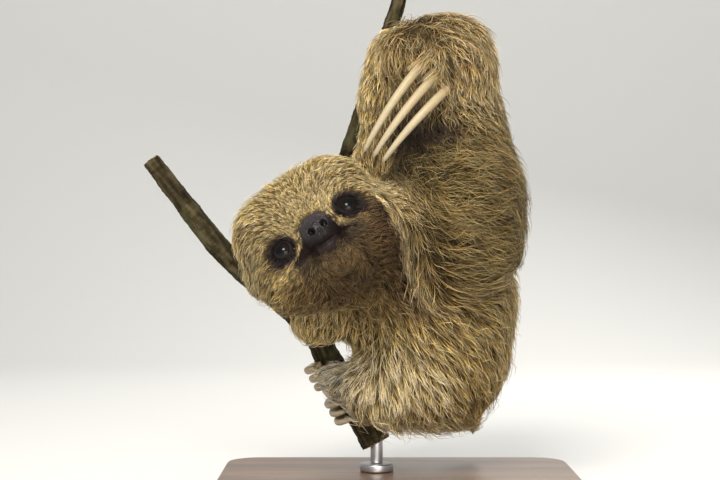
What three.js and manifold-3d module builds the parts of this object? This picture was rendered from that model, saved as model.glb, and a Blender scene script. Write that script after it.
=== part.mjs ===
// A young three-toed sloth, life size, clinging to a forked branch on a small display stand.
//
// Millimetres, +Z up. The origin is the centre of the base's underside. The animal's face looks
// towards -Y, its back is towards +X, and the branch stands on its belly side, towards -X.
//
// The body is one smooth field: every part is a few balls, eggs and tapered bones, and the parts are
// blended where flesh runs into flesh. All sizes are over the coat. The field is turned into one
// closed skin, and thin flat cuts part the skin at the joints. Claws, eyes, branch and stand are made
// from bent and extruded primitives.

import * as THREE from 'three';
import { mergeVertices } from 'three/addons/utils/BufferGeometryUtils.js';
import Module from 'manifold-3d';

const wasm = await Module();
wasm.setup();

// ---------------------------------------------------------------- driving dimensions

const CUT_GAP = 0.5; // width of the thin cuts between parts of the body
const FIT_GAP = 0.4; // clearance round claws, eyes and branch
const WELD = 0.05; // corners closer than this are one
const GRID_TURNS = 40; // shifts of the grid that are tried
const GRID_SHIFT = 0.137; // share of a cell that each turn shifts it by
const FACET = { body: 13, limb: 10.5, head: 7.6, small: 6.4 }; // facet sizes of the skin

const HEAD = {
  centre: [-50, -55, 165],
  roll: 38, // degrees, crown tipped towards -X
  pitch: 25, // degrees, face tipped up
  yaw: 5.5, // degrees, face turned to the animal's left
  width: 98,
  height: 92,
  depth: 88,
};
// Places on the head are in its own frame: out to each side, up to the crown, forward out of the face.
const CRANIUM = { rise: 3, back: 6, softness: 8 };
const CHEEK = { out: 23, drop: 15, forward: 8, radius: 26.5 };
const BROW = { out: 21, rise: 16, forward: 8, radius: 25 };
const EYE = { apart: 45, drop: 9, forward: 28.8, radius: 5.6, segments: 10, rings: 8 };
const SOCKET = { out: 1, drop: 1, forward: 13, radius: 11.5, softness: 7 }; // beyond the eye's centre
const EAR = { apart: 93, rise: 3, back: 12, radii: [5.5, 8.5, 9.5], seedOut: 58, seedRadius: 3 };
const MUZZLE = { rootForward: 22, tipForward: 40, drop: 18.5, rootRise: 4, rootRadius: 18, tipRadius: 11.2 };
const JAW = { rootForward: 15, tipForward: 33, drop: 35.5, rootRise: 5, rootRadius: 20, tipRadius: 10.2 };
const LIPS = { upper: [0, -16, 41, 12], lower: [0, -39, 38, 10] }; // balls that the mouth's cut runs between

const TRUNK = { chest: [24, -2, 166], waist: [24, 9, 130], rump: [23, 23, 92], radii: [40, 50.5, 52] };
const NECK = { top: [4, -6, -20], base: [10, -6, 158], radii: [36, 40] }; // the top in the head's frame
const TAIL = { root: [42, 58, 60], tip: [52, 76, 40], radii: [13, 8] };

const CLAW = {
  handRadius: 3.3,
  footRadius: 2.6,
  tipRadius: 1.4,
  pointShare: 0.55, // how much thinner the very end is
  flatness: 0.85,
  sides: 6,
  rows: 5,
};
const BRANCH = { sides: 8, swell: 0.05, swells: 9 }; // a swell's height as a share of the radius
const STEM = { root: 10.5, end: 8.8, rows: 4 };
const TWIG = { root: 7.04, end: 4.6, rows: 11 };
const SIDE_ARM = { root: 8.36, end: 6.2, rows: 7 };
const BASE = { width: 230, depth: 180, thickness: 14, corner: 22, bevel: 2 };
const ROD = { radius: 4, sides: 12, collarRadius: 11, collarHeight: 5, collarSides: 16, depthInWood: 9 };

// Joints of the limbs, with the radius of the furred limb at each.
const LEFT_ARM = {
  shoulder: { at: [36, -33, 171], radii: [42.5, 37.5, 48], middleRadius: 43 },
  inside: { at: [15, -31, 201], radius: 25.5 }, // the fold of the arm, next to the head
  elbow: { at: [44, -43, 196], radius: 31.5 },
  forearm: { at: [34, -30, 237], radius: 30 },
  wrist: { at: [29, -34, 273], radius: 29.5 },
  knuckles: { at: [33, -52, 264], radius: 23 },
  fingers: { at: [13, -41, 276], radius: 26 },
};
const RIGHT_ARM = {
  shoulder: { at: [10, 20, 140], radius: 34 },
  elbow: { at: [-52, 0, 115], radius: 18.5 },
  forearm: { at: [-36, 16, 178], radius: 17 },
  aboveHead: { at: [-6, -6, 226], radius: 18 },
  wrist: { at: [-4, -8, 252], radius: 23.5 },
  knuckles: { at: [3, -10, 274], radius: 26.5 },
};
const LEFT_LEG = {
  hip: { at: [20, 8, 84], radius: 38 },
  knee: { at: [-8, -6, 68], radius: 25 },
  ankle: { at: [-33, 7, 71.5], radius: 12.5 },
  toes: { at: [-47, 15, 77.5], radius: 7.5 },
};
const RIGHT_LEG = {
  hip: { at: [28, 48, 84], radius: 36 },
  knee: { at: [0, 60, 64], radius: 24 },
  ankle: { at: [-22, 54, 58], radius: 12.5 },
  toes: { at: [-33, 47, 58], radius: 8 },
};

// Middle lines of the branch: the stem with its upper twig, and the side arm.
const STEM_LINE = [[-14, 24, 32], [-23.5, 26, 50], [-46, 30, 86], [-52, 34, 104]];
const TWIG_LINE = [[-52, 34, 100], [-49, 36, 164], [-32, 22, 222], [-16, 14, 267], [5, 8, 334]];
const ARM_LINE = [[-50, 33, 98], [-74, 30, 122], [-108, 24, 150], [-138, 20, 187], [-160, 18, 216]];

// ---------------------------------------------------------------- small helpers

const vec = (p) => new THREE.Vector3(...p);
const rad = THREE.MathUtils.degToRad;
const lerp = THREE.MathUtils.lerp;

// The head's own frame: x to the animal's left, y to the crown, z out of the face.
const headFrame = new THREE.Matrix4()
  .makeTranslation(...HEAD.centre)
  .multiply(new THREE.Matrix4().makeRotationY(rad(-HEAD.roll)))
  .multiply(new THREE.Matrix4().makeRotationX(rad(90 - HEAD.pitch)))
  .multiply(new THREE.Matrix4().makeRotationY(rad(HEAD.yaw)));
const headInverse = headFrame.clone().invert();
const onHead = (x, y, z) => new THREE.Vector3(x, y, z).applyMatrix4(headFrame);

// ---------------------------------------------------------------- fields of distance

const ball = (centre, radius) => (p) => p.distanceTo(centre) - radius;

const egg = (centre, radii, inverse = null) => {
  const q = new THREE.Vector3();
  const r = vec(radii);
  return (p) => {
    q.copy(p);
    if (inverse) q.applyMatrix4(inverse);
    q.sub(centre);
    const k0 = Math.hypot(q.x / r.x, q.y / r.y, q.z / r.z);
    const k1 = Math.hypot(q.x / r.x ** 2, q.y / r.y ** 2, q.z / r.z ** 2);
    return k1 < 1e-9 ? -Math.min(r.x, r.y, r.z) : (k0 * (k0 - 1)) / k1;
  };
};

// A bone with a round end of its own radius at each joint.
const bone = (a, b, ra, rb) => {
  const along = b.clone().sub(a);
  const length2 = along.lengthSq();
  const q = new THREE.Vector3();
  return (p) => {
    const t = THREE.MathUtils.clamp(q.copy(p).sub(a).dot(along) / length2, 0, 1);
    return q.copy(along).multiplyScalar(t).add(a).distanceTo(p) - lerp(ra, rb, t);
  };
};
const limb = (from, to) => bone(vec(from.at), vec(to.at), from.radius, to.radius);

// The lower of two fields, rounded off where they are within k of each other.
const blend = (a, b, k) => {
  const h = Math.max(k - Math.abs(a - b), 0) / k;
  return Math.min(a, b) - (h * h * k) / 4;
};
const together = (fields, k) => (p) => fields.reduce((d, f) => (d === null ? f(p) : blend(d, f(p), k)), null);

// ---------------------------------------------------------------- the parts of the body

const both = (make) => [make(1), make(-1)];

const cranium = together(
  [
    egg(
      new THREE.Vector3(0, CRANIUM.rise, -CRANIUM.back),
      [HEAD.width / 2, HEAD.height / 2, HEAD.depth / 2],
      headInverse,
    ),
    ...both((side) => ball(onHead(side * CHEEK.out, -CHEEK.drop, CHEEK.forward), CHEEK.radius)),
    ...both((side) => ball(onHead(side * BROW.out, BROW.rise, BROW.forward), BROW.radius)),
  ],
  CRANIUM.softness,
);
const sockets = both((side) =>
  ball(
    onHead(side * (EYE.apart / 2 + SOCKET.out), -EYE.drop - SOCKET.drop, EYE.forward + SOCKET.forward),
    SOCKET.radius,
  ),
);
const head = (p) => {
  const pressed = Math.min(sockets[0](p), sockets[1](p));
  return -blend(-cranium(p), pressed, SOCKET.softness);
};
const muzzle = bone(
  onHead(0, MUZZLE.rootRise - MUZZLE.drop, MUZZLE.rootForward),
  onHead(0, -MUZZLE.drop, MUZZLE.tipForward),
  MUZZLE.rootRadius,
  MUZZLE.tipRadius,
);
const jaw = bone(
  onHead(0, JAW.rootRise - JAW.drop, JAW.rootForward),
  onHead(0, -JAW.drop, JAW.tipForward),
  JAW.rootRadius,
  JAW.tipRadius,
);
const ear = (side) =>
  egg(new THREE.Vector3((side * EAR.apart) / 2, EAR.rise, -EAR.back), EAR.radii, headInverse);
const neck = bone(onHead(...NECK.top), vec(NECK.base), ...NECK.radii);
const trunk = together(
  [
    bone(vec(TRUNK.chest), vec(TRUNK.waist), TRUNK.radii[0], TRUNK.radii[1]),
    bone(vec(TRUNK.waist), vec(TRUNK.rump), TRUNK.radii[1], TRUNK.radii[2]),
  ],
  14,
);
const leftUpperArm = together(
  [
    egg(vec(LEFT_ARM.shoulder.at), LEFT_ARM.shoulder.radii),
    ball(vec(LEFT_ARM.elbow.at), LEFT_ARM.elbow.radius),
    ball(vec(LEFT_ARM.inside.at), LEFT_ARM.inside.radius),
  ],
  10,
);

// Each part has its field, how softly it runs into what comes before it, its facet size, and the
// balls that hold its place when the skin is parted.
const BODY = [];
const part = (name, field, softness, facet, ...seeds) => BODY.push({ name, field, softness, facet, seeds });

const seed = (at, radius) => ({ at, radius });
const seedsOf = (from, to, ...places) =>
  places.map((t) => seed(vec(from.at).lerp(vec(to.at), t), lerp(from.radius, to.radius, t)));
const onHeadSeed = (x, y, z, radius) => seed(onHead(x, y, z), radius);

part('trunk', trunk, 0, FACET.body,
  seed(vec(TRUNK.chest), TRUNK.radii[0]),
  seed(vec(TRUNK.waist), TRUNK.radii[1]),
  seed(vec(TRUNK.rump), TRUNK.radii[2]));
part('tail', bone(vec(TAIL.root), vec(TAIL.tip), ...TAIL.radii), 10, FACET.small,
  seed(vec(TAIL.tip), TAIL.radii[1]));
part('neck', neck, 14, FACET.body,
  seed(onHead(...NECK.top).lerp(vec(NECK.base), 0.5), lerp(...NECK.radii, 0.5)));
part('head', head, 6, FACET.head, onHeadSeed(0, CRANIUM.rise, -CRANIUM.back, HEAD.height / 2));
part('muzzle', muzzle, 9, FACET.head, onHeadSeed(...LIPS.upper));
part('lower_jaw', jaw, 5, FACET.head, onHeadSeed(...LIPS.lower));
for (const side of [1, -1])
  part(side > 0 ? 'left_ear' : 'right_ear', ear(side), 3, FACET.small,
    onHeadSeed(side * EAR.seedOut, EAR.rise, -EAR.back, EAR.seedRadius));
part('right_upper_arm', limb(RIGHT_ARM.shoulder, RIGHT_ARM.elbow), 10, FACET.body,
  ...seedsOf(RIGHT_ARM.shoulder, RIGHT_ARM.elbow, 0.35, 0.75));
part('right_forearm', together([
  limb(RIGHT_ARM.elbow, RIGHT_ARM.forearm),
  limb(RIGHT_ARM.forearm, RIGHT_ARM.aboveHead),
], 6), 6, FACET.limb,
  ...seedsOf(RIGHT_ARM.elbow, RIGHT_ARM.forearm, 0.35, 1),
  ...seedsOf(RIGHT_ARM.forearm, RIGHT_ARM.aboveHead, 0.7));
part('right_hand', together([
  limb(RIGHT_ARM.aboveHead, RIGHT_ARM.wrist),
  limb(RIGHT_ARM.wrist, RIGHT_ARM.knuckles),
], 6), 6, FACET.limb, ...seedsOf(RIGHT_ARM.wrist, RIGHT_ARM.knuckles, 0, 1));
part('left_upper_arm', leftUpperArm, 7, FACET.body,
  seed(vec(LEFT_ARM.shoulder.at).lerp(vec(LEFT_ARM.elbow.at), 0.4), LEFT_ARM.shoulder.middleRadius),
  seed(vec(LEFT_ARM.inside.at), LEFT_ARM.inside.radius));
part('left_forearm', together([
  limb(LEFT_ARM.elbow, LEFT_ARM.forearm),
  limb(LEFT_ARM.forearm, LEFT_ARM.wrist),
], 8), 8, FACET.limb, ...seedsOf(LEFT_ARM.forearm, LEFT_ARM.wrist, 0));
part('left_hand', together([
  limb(LEFT_ARM.wrist, LEFT_ARM.knuckles),
  limb(LEFT_ARM.wrist, LEFT_ARM.fingers),
], 6), 6, FACET.limb,
  ...seedsOf(LEFT_ARM.wrist, LEFT_ARM.knuckles, 0, 1),
  ...seedsOf(LEFT_ARM.wrist, LEFT_ARM.fingers, 1));
for (const [side, leg] of [['right', RIGHT_LEG], ['left', LEFT_LEG]]) {
  const { hip, knee, ankle, toes } = leg;
  part(`${side}_thigh`, limb(hip, knee), 12, FACET.body, ...seedsOf(hip, knee, 0.55, 0.85));
  part(`${side}_shank`, limb(knee, ankle), 6, FACET.small, ...seedsOf(knee, ankle, 0.55, 0.85));
  part(`${side}_foot`, limb(ankle, toes), 4, FACET.small, ...seedsOf(ankle, toes, 0.4, 1));
}

const wholeField = (p) =>
  BODY.reduce((d, { field, softness }) => (d === null ? field(p) : blend(d, field(p), softness)), null);

// ---------------------------------------------------------------- a closed mesh of a field

const CORNERS = [0, 1, 2, 3, 4, 5, 6, 7].map((i) => [i & 1, (i >> 1) & 1, (i >> 2) & 1]);
const EDGES = [];
for (const a of CORNERS)
  for (const b of CORNERS)
    if (a[0] + a[1] + a[2] + 1 === b[0] + b[1] + b[2] && a.every((v, i) => v <= b[i])) EDGES.push([a, b]);

// Moves a point onto the surface of a field.
function settle(field, p) {
  const step = 0.05;
  const leastSlope = 0.25; // squared
  const q = new THREE.Vector3();
  const slope = new THREE.Vector3();
  for (let i = 0; i < 3; i++) {
    q.copy(p).setComponent(i, p.getComponent(i) + step);
    const above = field(q);
    q.setComponent(i, p.getComponent(i) - step);
    slope.setComponent(i, (above - field(q)) / (2 * step));
  }
  p.addScaledVector(slope, -field(p) / Math.max(slope.lengthSq(), leastSlope));
}

// A closed mesh of the space where a field is below zero, inside a box: one vertex in each grid cell
// that the surface passes, moved onto the surface, and a quad across each crossed edge.
function meshOf(field, box, cell, shift) {
  const span = box.getSize(new THREE.Vector3()).toArray();
  const size = span.map((length) => Math.ceil(length / cell) + 3);
  const [nx, ny, nz] = size;
  const at = (i, j, k) => i + nx * (j + ny * k);
  const p = new THREE.Vector3();
  const place = (i, j, k) => p.set(i - 1, j - 1, k - 1).subScalar(shift).multiplyScalar(cell).add(box.min);
  const value = new Float32Array(nx * ny * nz);
  for (let k = 0; k < nz; k++)
    for (let j = 0; j < ny; j++)
      for (let i = 0; i < nx; i++) {
        const onRim = [i, j, k].some((n, axis) => n === 0 || n === size[axis] - 1);
        value[at(i, j, k)] = onRim ? cell : field(place(i, j, k));
      }
  const number = new Map();
  const positions = [];
  for (let k = 0; k < nz - 1; k++)
    for (let j = 0; j < ny - 1; j++)
      for (let i = 0; i < nx - 1; i++) {
        const sum = new THREE.Vector3();
        let crossings = 0;
        for (const [a, b] of EDGES) {
          const va = value[at(i + a[0], j + a[1], k + a[2])];
          const vb = value[at(i + b[0], j + b[1], k + b[2])];
          if (va < 0 === vb < 0) continue;
          const t = va / (va - vb);
          sum.add(p.set(lerp(a[0], b[0], t), lerp(a[1], b[1], t), lerp(a[2], b[2], t)));
          crossings++;
        }
        if (!crossings) continue;
        place(i, j, k).addScaledVector(sum, cell / crossings);
        const start = p.clone();
        settle(field, p);
        settle(field, p);
        if (p.distanceTo(start) > cell / 2) p.copy(start);
        number.set(at(i, j, k), positions.length / 3);
        positions.push(...p.toArray());
      }
  const triangles = [];
  const corner = (n) => new THREE.Vector3().fromArray(positions, 3 * n);
  const steps = [[1, 0, 0], [0, 1, 0], [0, 0, 1]];
  for (let k = 0; k < nz - 1; k++)
    for (let j = 0; j < ny - 1; j++)
      for (let i = 0; i < nx - 1; i++)
        steps.forEach((s, axis) => {
          const inside = value[at(i, j, k)] < 0;
          if (inside === value[at(i + s[0], j + s[1], k + s[2])] < 0) return;
          const u = steps[(axis + 1) % 3];
          const w = steps[(axis + 2) % 3];
          const cellAt = (du, dw) =>
            number.get(at(i - du * u[0] - dw * w[0], j - du * u[1] - dw * w[1], k - du * u[2] - dw * w[2]));
          const ring = [cellAt(1, 1), cellAt(0, 1), cellAt(0, 0), cellAt(1, 0)];
          if (!inside) ring.reverse();
          const [a, b, c, d] = ring;
          if (corner(a).distanceToSquared(corner(c)) < corner(b).distanceToSquared(corner(d)))
            triangles.push(a, b, c, a, c, d);
          else triangles.push(a, b, d, b, c, d);
        });
  return solidFrom(new Float32Array(positions), new Uint32Array(triangles));
}

// True where exactly two triangles meet at every edge.
function isPlain(triangles) {
  const uses = new Map();
  for (let i = 0; i < triangles.length; i++) {
    const a = triangles[i];
    const b = triangles[i % 3 === 2 ? i - 2 : i + 1];
    const edge = Math.min(a, b) * triangles.length + Math.max(a, b);
    uses.set(edge, (uses.get(edge) ?? 0) + 1);
  }
  return [...uses.values()].every((n) => n === 2);
}

// The whole skin with one facet size, on a grid that is shifted a little for each turn. Null where
// two folds of the surface cross one cell so that no closed mesh can hold both.
const skins = new Map();
function skinOf(facet, turn) {
  const key = `${facet} ${turn}`;
  if (!skins.has(key)) {
    const near = BODY.filter((one) => one.facet === facet).flatMap((one) => one.seeds);
    const box = new THREE.Box3();
    for (const { at, radius } of near) {
      const reach = new THREE.Vector3(1, 1, 1).multiplyScalar(4 * radius);
      box.union(new THREE.Box3().setFromCenterAndSize(at, reach));
    }
    try {
      skins.set(key, meshOf(wholeField, box, facet, (turn * GRID_SHIFT) % 1));
    } catch (problem) {
      if (problem.code !== 'NotManifold') throw problem;
      skins.set(key, null);
    }
  }
  return skins.get(key);
}

// What is left of a solid round the seeds of one part. Between two seeds the cut is flat, and goes
// through the circle in which their balls meet.
function parted(solid, { name, seeds }) {
  const others = BODY.filter((other) => other.name !== name).flatMap((other) => other.seeds);
  return seeds
    .map((own) =>
      others.reduce((rest, other) => {
        const across = own.at.clone().sub(other.at);
        const apart = across.length();
        const fromOther = (apart ** 2 + other.radius ** 2 - own.radius ** 2) / (2 * apart);
        across.normalize();
        return rest.trimByPlane(across.toArray(), across.dot(other.at) + fromOther + CUT_GAP / 2);
      }, solid))
    .reduce((a, b) => a.add(b));
}

// ---------------------------------------------------------------- solids that join and cut

const solidFrom = (vertProperties, triVerts) =>
  new wasm.Manifold(new wasm.Mesh({ numProp: 3, vertProperties, triVerts }));

function solidOf(geometry) {
  const bare = geometry.clone();
  bare.deleteAttribute('normal');
  bare.deleteAttribute('uv');
  const merged = mergeVertices(bare, 1e-3);
  return solidFrom(new Float32Array(merged.attributes.position.array), new Uint32Array(merged.index.array));
}

// A cut can leave crumbs: only the largest body is the part. Corners closer than the weld are made
// one, so that no facet is too thin to keep its place in 32-bit numbers.
const weld = (solid) => mergeVertices(geometryOf(solid).deleteAttribute('normal'), WELD);

function largest(solid) {
  const merged = weld(solid);
  const corners = merged.index.array;
  const kept = [];
  for (let i = 0; i < corners.length; i += 3) {
    const [a, b, c] = corners.slice(i, i + 3);
    if (a !== b && b !== c && c !== a) kept.push(a, b, c);
  }
  const welded = solidFrom(new Float32Array(merged.attributes.position.array), new Uint32Array(kept));
  return welded.decompose().reduce((a, b) => (a.volume() >= b.volume() ? a : b));
}

function geometryOf(solid) {
  const { numProp, vertProperties, triVerts } = solid.getMesh();
  const count = vertProperties.length / numProp;
  const positions = new Float32Array(count * 3);
  for (let i = 0; i < count; i++) positions.set(vertProperties.subarray(i * numProp, i * numProp + 3), 3 * i);
  const geometry = new THREE.BufferGeometry();
  geometry.setAttribute('position', new THREE.BufferAttribute(positions, 3));
  geometry.setIndex(new THREE.BufferAttribute(new Uint32Array(triVerts), 1));
  geometry.computeVertexNormals();
  return geometry;
}

// ---------------------------------------------------------------- rods bent along a line

// A cylinder whose axis follows centreAt(t) and whose section has the radius radiusAt(t).
function bentRod(centreAt, radiusAt, sides, rows, sideways, flatness = 1) {
  const geometry = new THREE.CylinderGeometry(1, 1, 1, sides, rows).toNonIndexed();
  const position = geometry.attributes.position;
  const end = 1e-3;
  const out = new THREE.Vector3();
  for (let i = 0; i < position.count; i++) {
    const t = 0.5 - position.getY(i);
    const before = centreAt(Math.max(t - end, 0));
    const tangent = centreAt(Math.min(t + end, 1)).sub(before).normalize();
    const across = new THREE.Vector3().crossVectors(tangent, sideways).normalize();
    const up = new THREE.Vector3().crossVectors(across, tangent);
    const radius = radiusAt(t);
    out.copy(centreAt(t));
    out.addScaledVector(across, position.getX(i) * radius * flatness);
    out.addScaledVector(up, position.getZ(i) * radius);
    position.setXYZ(i, out.x, out.y, out.z);
  }
  const solid = solidOf(geometry);
  if (solid.volume() > 0) return solid;
  const flipped = new Float32Array(position.array);
  for (let i = 0; i < flipped.length; i += 9)
    for (let c = i + 3; c < i + 6; c++) [flipped[c], flipped[c + 3]] = [flipped[c + 3], flipped[c]];
  geometry.setAttribute('position', new THREE.BufferAttribute(flipped, 3));
  return solidOf(geometry);
}

// A claw is thickest just past its root and ends in a blunt point.
const clawRadius = (root, grow) => (t) =>
  lerp(root, CLAW.tipRadius, t ** 2) * (t < 0.999 ? 1 : CLAW.pointShare) + grow;

function arcClaw({ centre, toRoot, toSide, bend, from, to, root }, grow = 0) {
  const u = vec(toRoot).normalize();
  const v = vec(toSide).addScaledVector(u, -vec(toSide).dot(u)).normalize();
  const centreAt = (t) => {
    const angle = rad(lerp(from, to, t));
    const out = u.clone().multiplyScalar(Math.cos(angle)).addScaledVector(v, Math.sin(angle));
    return out.multiplyScalar(bend).add(centre);
  };
  const axis = new THREE.Vector3().crossVectors(u, v);
  return bentRod(centreAt, clawRadius(root, grow), CLAW.sides, CLAW.rows, axis, CLAW.flatness);
}

// The curve's middle bows half as far as its handle.
function bowedClaw({ root, tip, bow, radius }, grow = 0) {
  const handle = root.clone().lerp(tip, 0.5).addScaledVector(bow, 2);
  const curve = new THREE.QuadraticBezierCurve3(root, handle, tip);
  const centreAt = (t) => curve.getPoint(t);
  const sideways = bow.clone().normalize();
  return bentRod(centreAt, clawRadius(radius, grow), CLAW.sides, CLAW.rows, sideways, CLAW.flatness);
}

const TOES = [-1, 0, 1];
const stepped = (middle, step, i) => vec(middle).addScaledVector(vec(step), i);

// Each entry makes one claw, at its own size or grown by the fit gap.
const CLAWS = {};
for (const i of TOES) {
  const n = i + 2;
  CLAWS[`left_hand_claw_${n}`] = (grow) => bowedClaw({
    root: stepped([29, -57, 271], [8.2, 1, -8], i),
    tip: stepped([-17, -62, 213], [5.5, -1, -3], i),
    bow: new THREE.Vector3(-3.5, -13, -1),
    radius: CLAW.handRadius,
  }, grow);
  CLAWS[`right_hand_claw_${n}`] = (grow) => arcClaw({
    centre: stepped([-13, 10, 268], [2.6, -0.9, 7.6], i),
    toRoot: [11, -20, 0],
    toSide: [20, 11, -2],
    bend: 15,
    from: 8,
    to: 196,
    root: CLAW.handRadius,
  }, grow);
  CLAWS[`left_foot_claw_${n}`] = (grow) => arcClaw({
    centre: stepped([-43, 27.5, 80], [-3.2, 0.6, 5.4], i),
    toRoot: [-4, -13, -2],
    toSide: [-12, 4, -6],
    bend: 14.5,
    from: -4,
    to: 168,
    root: CLAW.footRadius,
  }, grow);
  CLAWS[`right_foot_claw_${n}`] = (grow) => arcClaw({
    centre: stepped([-29.5, 28.5, 58], [-3.2, 0.4, 5.4], i),
    toRoot: [-4, 18, 0],
    toSide: [-13, -4, -7],
    bend: 15,
    from: 4,
    to: 148,
    root: CLAW.footRadius,
  }, grow);
}

// ---------------------------------------------------------------- branch and stand

// A length of wood that swells a little at its knots.
function woodLength(line, { root, end, rows }, grow) {
  const curve = new THREE.CatmullRomCurve3(line.map(vec));
  const knots = (t) => 1 + BRANCH.swell * Math.sin(BRANCH.swells * t + root);
  const radiusAt = (t) => lerp(root, end, t) * knots(t) + grow;
  return bentRod((t) => curve.getPoint(t), radiusAt, BRANCH.sides, rows, new THREE.Vector3(0, 1, 0));
}

const branch = (grow = 0) =>
  woodLength(STEM_LINE, STEM, grow)
    .add(woodLength(TWIG_LINE, TWIG, grow))
    .add(woodLength(ARM_LINE, SIDE_ARM, grow));

const rodAxis = vec(STEM_LINE[0]);
const rodTop = rodAxis.z + ROD.depthInWood;

const uprightCylinder = (radius, low, high, sides) =>
  new THREE.CylinderGeometry(radius, radius, high - low, sides)
    .rotateX(Math.PI / 2)
    .translate(rodAxis.x, rodAxis.y, (low + high) / 2);

function baseGeometry() {
  const x = BASE.width / 2 - BASE.bevel;
  const y = BASE.depth / 2 - BASE.bevel;
  const r = BASE.corner;
  const outline = new THREE.Shape();
  outline.moveTo(-x + r, -y);
  outline.lineTo(x - r, -y).absarc(x - r, -y + r, r, -Math.PI / 2, 0);
  outline.lineTo(x, y - r).absarc(x - r, y - r, r, 0, Math.PI / 2);
  outline.lineTo(-x + r, y).absarc(-x + r, y - r, r, Math.PI / 2, Math.PI);
  outline.lineTo(-x, -y + r).absarc(-x + r, -y + r, r, Math.PI, 1.5 * Math.PI);
  return new THREE.ExtrudeGeometry(outline, {
    depth: BASE.thickness - 2 * BASE.bevel,
    bevelThickness: BASE.bevel,
    bevelSize: BASE.bevel,
    bevelSegments: 1,
    curveSegments: 4,
  }).translate(0, 0, BASE.bevel);
}

// ---------------------------------------------------------------- materials and assembly

const finish = (color, roughness, metalness = 0) =>
  new THREE.MeshStandardMaterial({ color, roughness, metalness });
const COAT = finish(0x9c7f52, 0.9);
const FACE_SKIN = finish(0x3a2c2c, 0.6);
const CLAW_HORN = finish(0xd3bf93, 0.45);
const EYE_DARK = finish(0x120b08, 0.08);
const BARK = finish(0x4a3a2c, 0.9);
const WALNUT = finish(0x5b4030, 0.5);
const STEEL = finish(0x9a9a98, 0.35, 1);

const sloth = new THREE.Group();

function add(name, solidOrGeometry, material) {
  const geometry = solidOrGeometry.isBufferGeometry ? solidOrGeometry : geometryOf(solidOrGeometry);
  const mesh = new THREE.Mesh(geometry, material);
  mesh.name = name;
  sloth.add(mesh);
}

// What the body makes room for: the branch, the claws and the eyes.
const eyes = both((side) => {
  const centre = onHead((side * EYE.apart) / 2, -EYE.drop, EYE.forward);
  const sphere = (radius) =>
    new THREE.SphereGeometry(radius, EYE.segments, EYE.rings).translate(...centre.toArray());
  return { side, sphere };
});
const rooms = [
  branch(FIT_GAP),
  ...Object.values(CLAWS).map((claw) => claw(FIT_GAP)),
  ...eyes.map((eye) => solidOf(eye.sphere(EYE.radius + FIT_GAP))),
];

// A part is taken from the first grid that gives it a surface with no pinched edge.
function fleshOf(one) {
  for (let turn = 0; turn < GRID_TURNS; turn++) {
    const skin = skinOf(one.facet, turn);
    if (!skin) continue;
    const solid = largest(rooms.reduce((rest, room) => rest.subtract(room), parted(skin, one)));
    if (isPlain(weld(solid).index.array)) return solid;
  }
  throw new Error('no grid suits the ' + one.name);
}

const bareParts = ['muzzle', 'lower_jaw'];
for (const one of BODY) add(one.name, fleshOf(one), bareParts.includes(one.name) ? FACE_SKIN : COAT);
for (const { side, sphere } of eyes) add(side > 0 ? 'left_eye' : 'right_eye', sphere(EYE.radius), EYE_DARK);
for (const [name, claw] of Object.entries(CLAWS)) add(name, claw(0), CLAW_HORN);

const rodRoom = solidOf(uprightCylinder(ROD.radius + FIT_GAP, BASE.thickness, rodTop + FIT_GAP, ROD.sides));
add('perch_branch', branch().subtract(rodRoom), BARK);
const collarFoot = BASE.thickness + FIT_GAP;
const collarTop = collarFoot + ROD.collarHeight;
add('stand_rod', uprightCylinder(ROD.radius, collarTop + FIT_GAP, rodTop, ROD.sides), STEEL);
add('stand_collar', uprightCylinder(ROD.collarRadius, collarFoot, collarTop, ROD.collarSides), STEEL);
add('stand_base', baseGeometry(), WALNUT);

export default sloth;
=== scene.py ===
# %% [markdown]
# # A three-toed sloth on a forked branch
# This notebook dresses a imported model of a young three-toed sloth that clings to a branch on a small
# display stand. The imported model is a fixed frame: it says where every part is. Here each part gets
# its looks: one skin for the whole body, a sculpted face, a coat of more than sixty thousand hairs,
# horn claws, wet eyes, bark, walnut and steel. Lengths are in metres, as Blender has them, and
# `MM` turns a size in millimetres into metres.

import math

import bmesh
import bpy
import numpy as np
from mathutils import Matrix, Vector, noise
from mathutils.bvhtree import BVHTree
from mathutils.kdtree import KDTree


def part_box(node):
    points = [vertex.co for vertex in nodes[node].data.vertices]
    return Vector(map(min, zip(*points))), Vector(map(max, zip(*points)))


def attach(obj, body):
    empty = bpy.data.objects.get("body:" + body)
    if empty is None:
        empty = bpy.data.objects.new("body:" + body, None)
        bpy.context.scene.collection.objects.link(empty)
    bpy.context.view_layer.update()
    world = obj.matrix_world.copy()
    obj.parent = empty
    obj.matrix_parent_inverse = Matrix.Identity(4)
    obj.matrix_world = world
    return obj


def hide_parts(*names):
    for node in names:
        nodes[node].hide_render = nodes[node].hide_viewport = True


MM = 0.001
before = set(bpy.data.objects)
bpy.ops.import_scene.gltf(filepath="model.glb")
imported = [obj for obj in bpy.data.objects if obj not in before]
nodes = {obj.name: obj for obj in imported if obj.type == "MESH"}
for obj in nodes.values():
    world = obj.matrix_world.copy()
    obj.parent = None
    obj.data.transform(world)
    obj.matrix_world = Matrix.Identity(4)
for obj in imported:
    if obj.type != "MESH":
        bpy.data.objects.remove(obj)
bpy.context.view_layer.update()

# %% [markdown]
# ## Camera
# The animal is seen level, from in front of its base, by a long lens that stands about a metre away,
# so its nearer hand and face look only a little larger than the rest.

# %% Camera
CAMERA_AT = Vector((-24.8, -970, 164)) * MM
LENS_MM = 76.61
SENSOR_WIDTH_MM = 36

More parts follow.
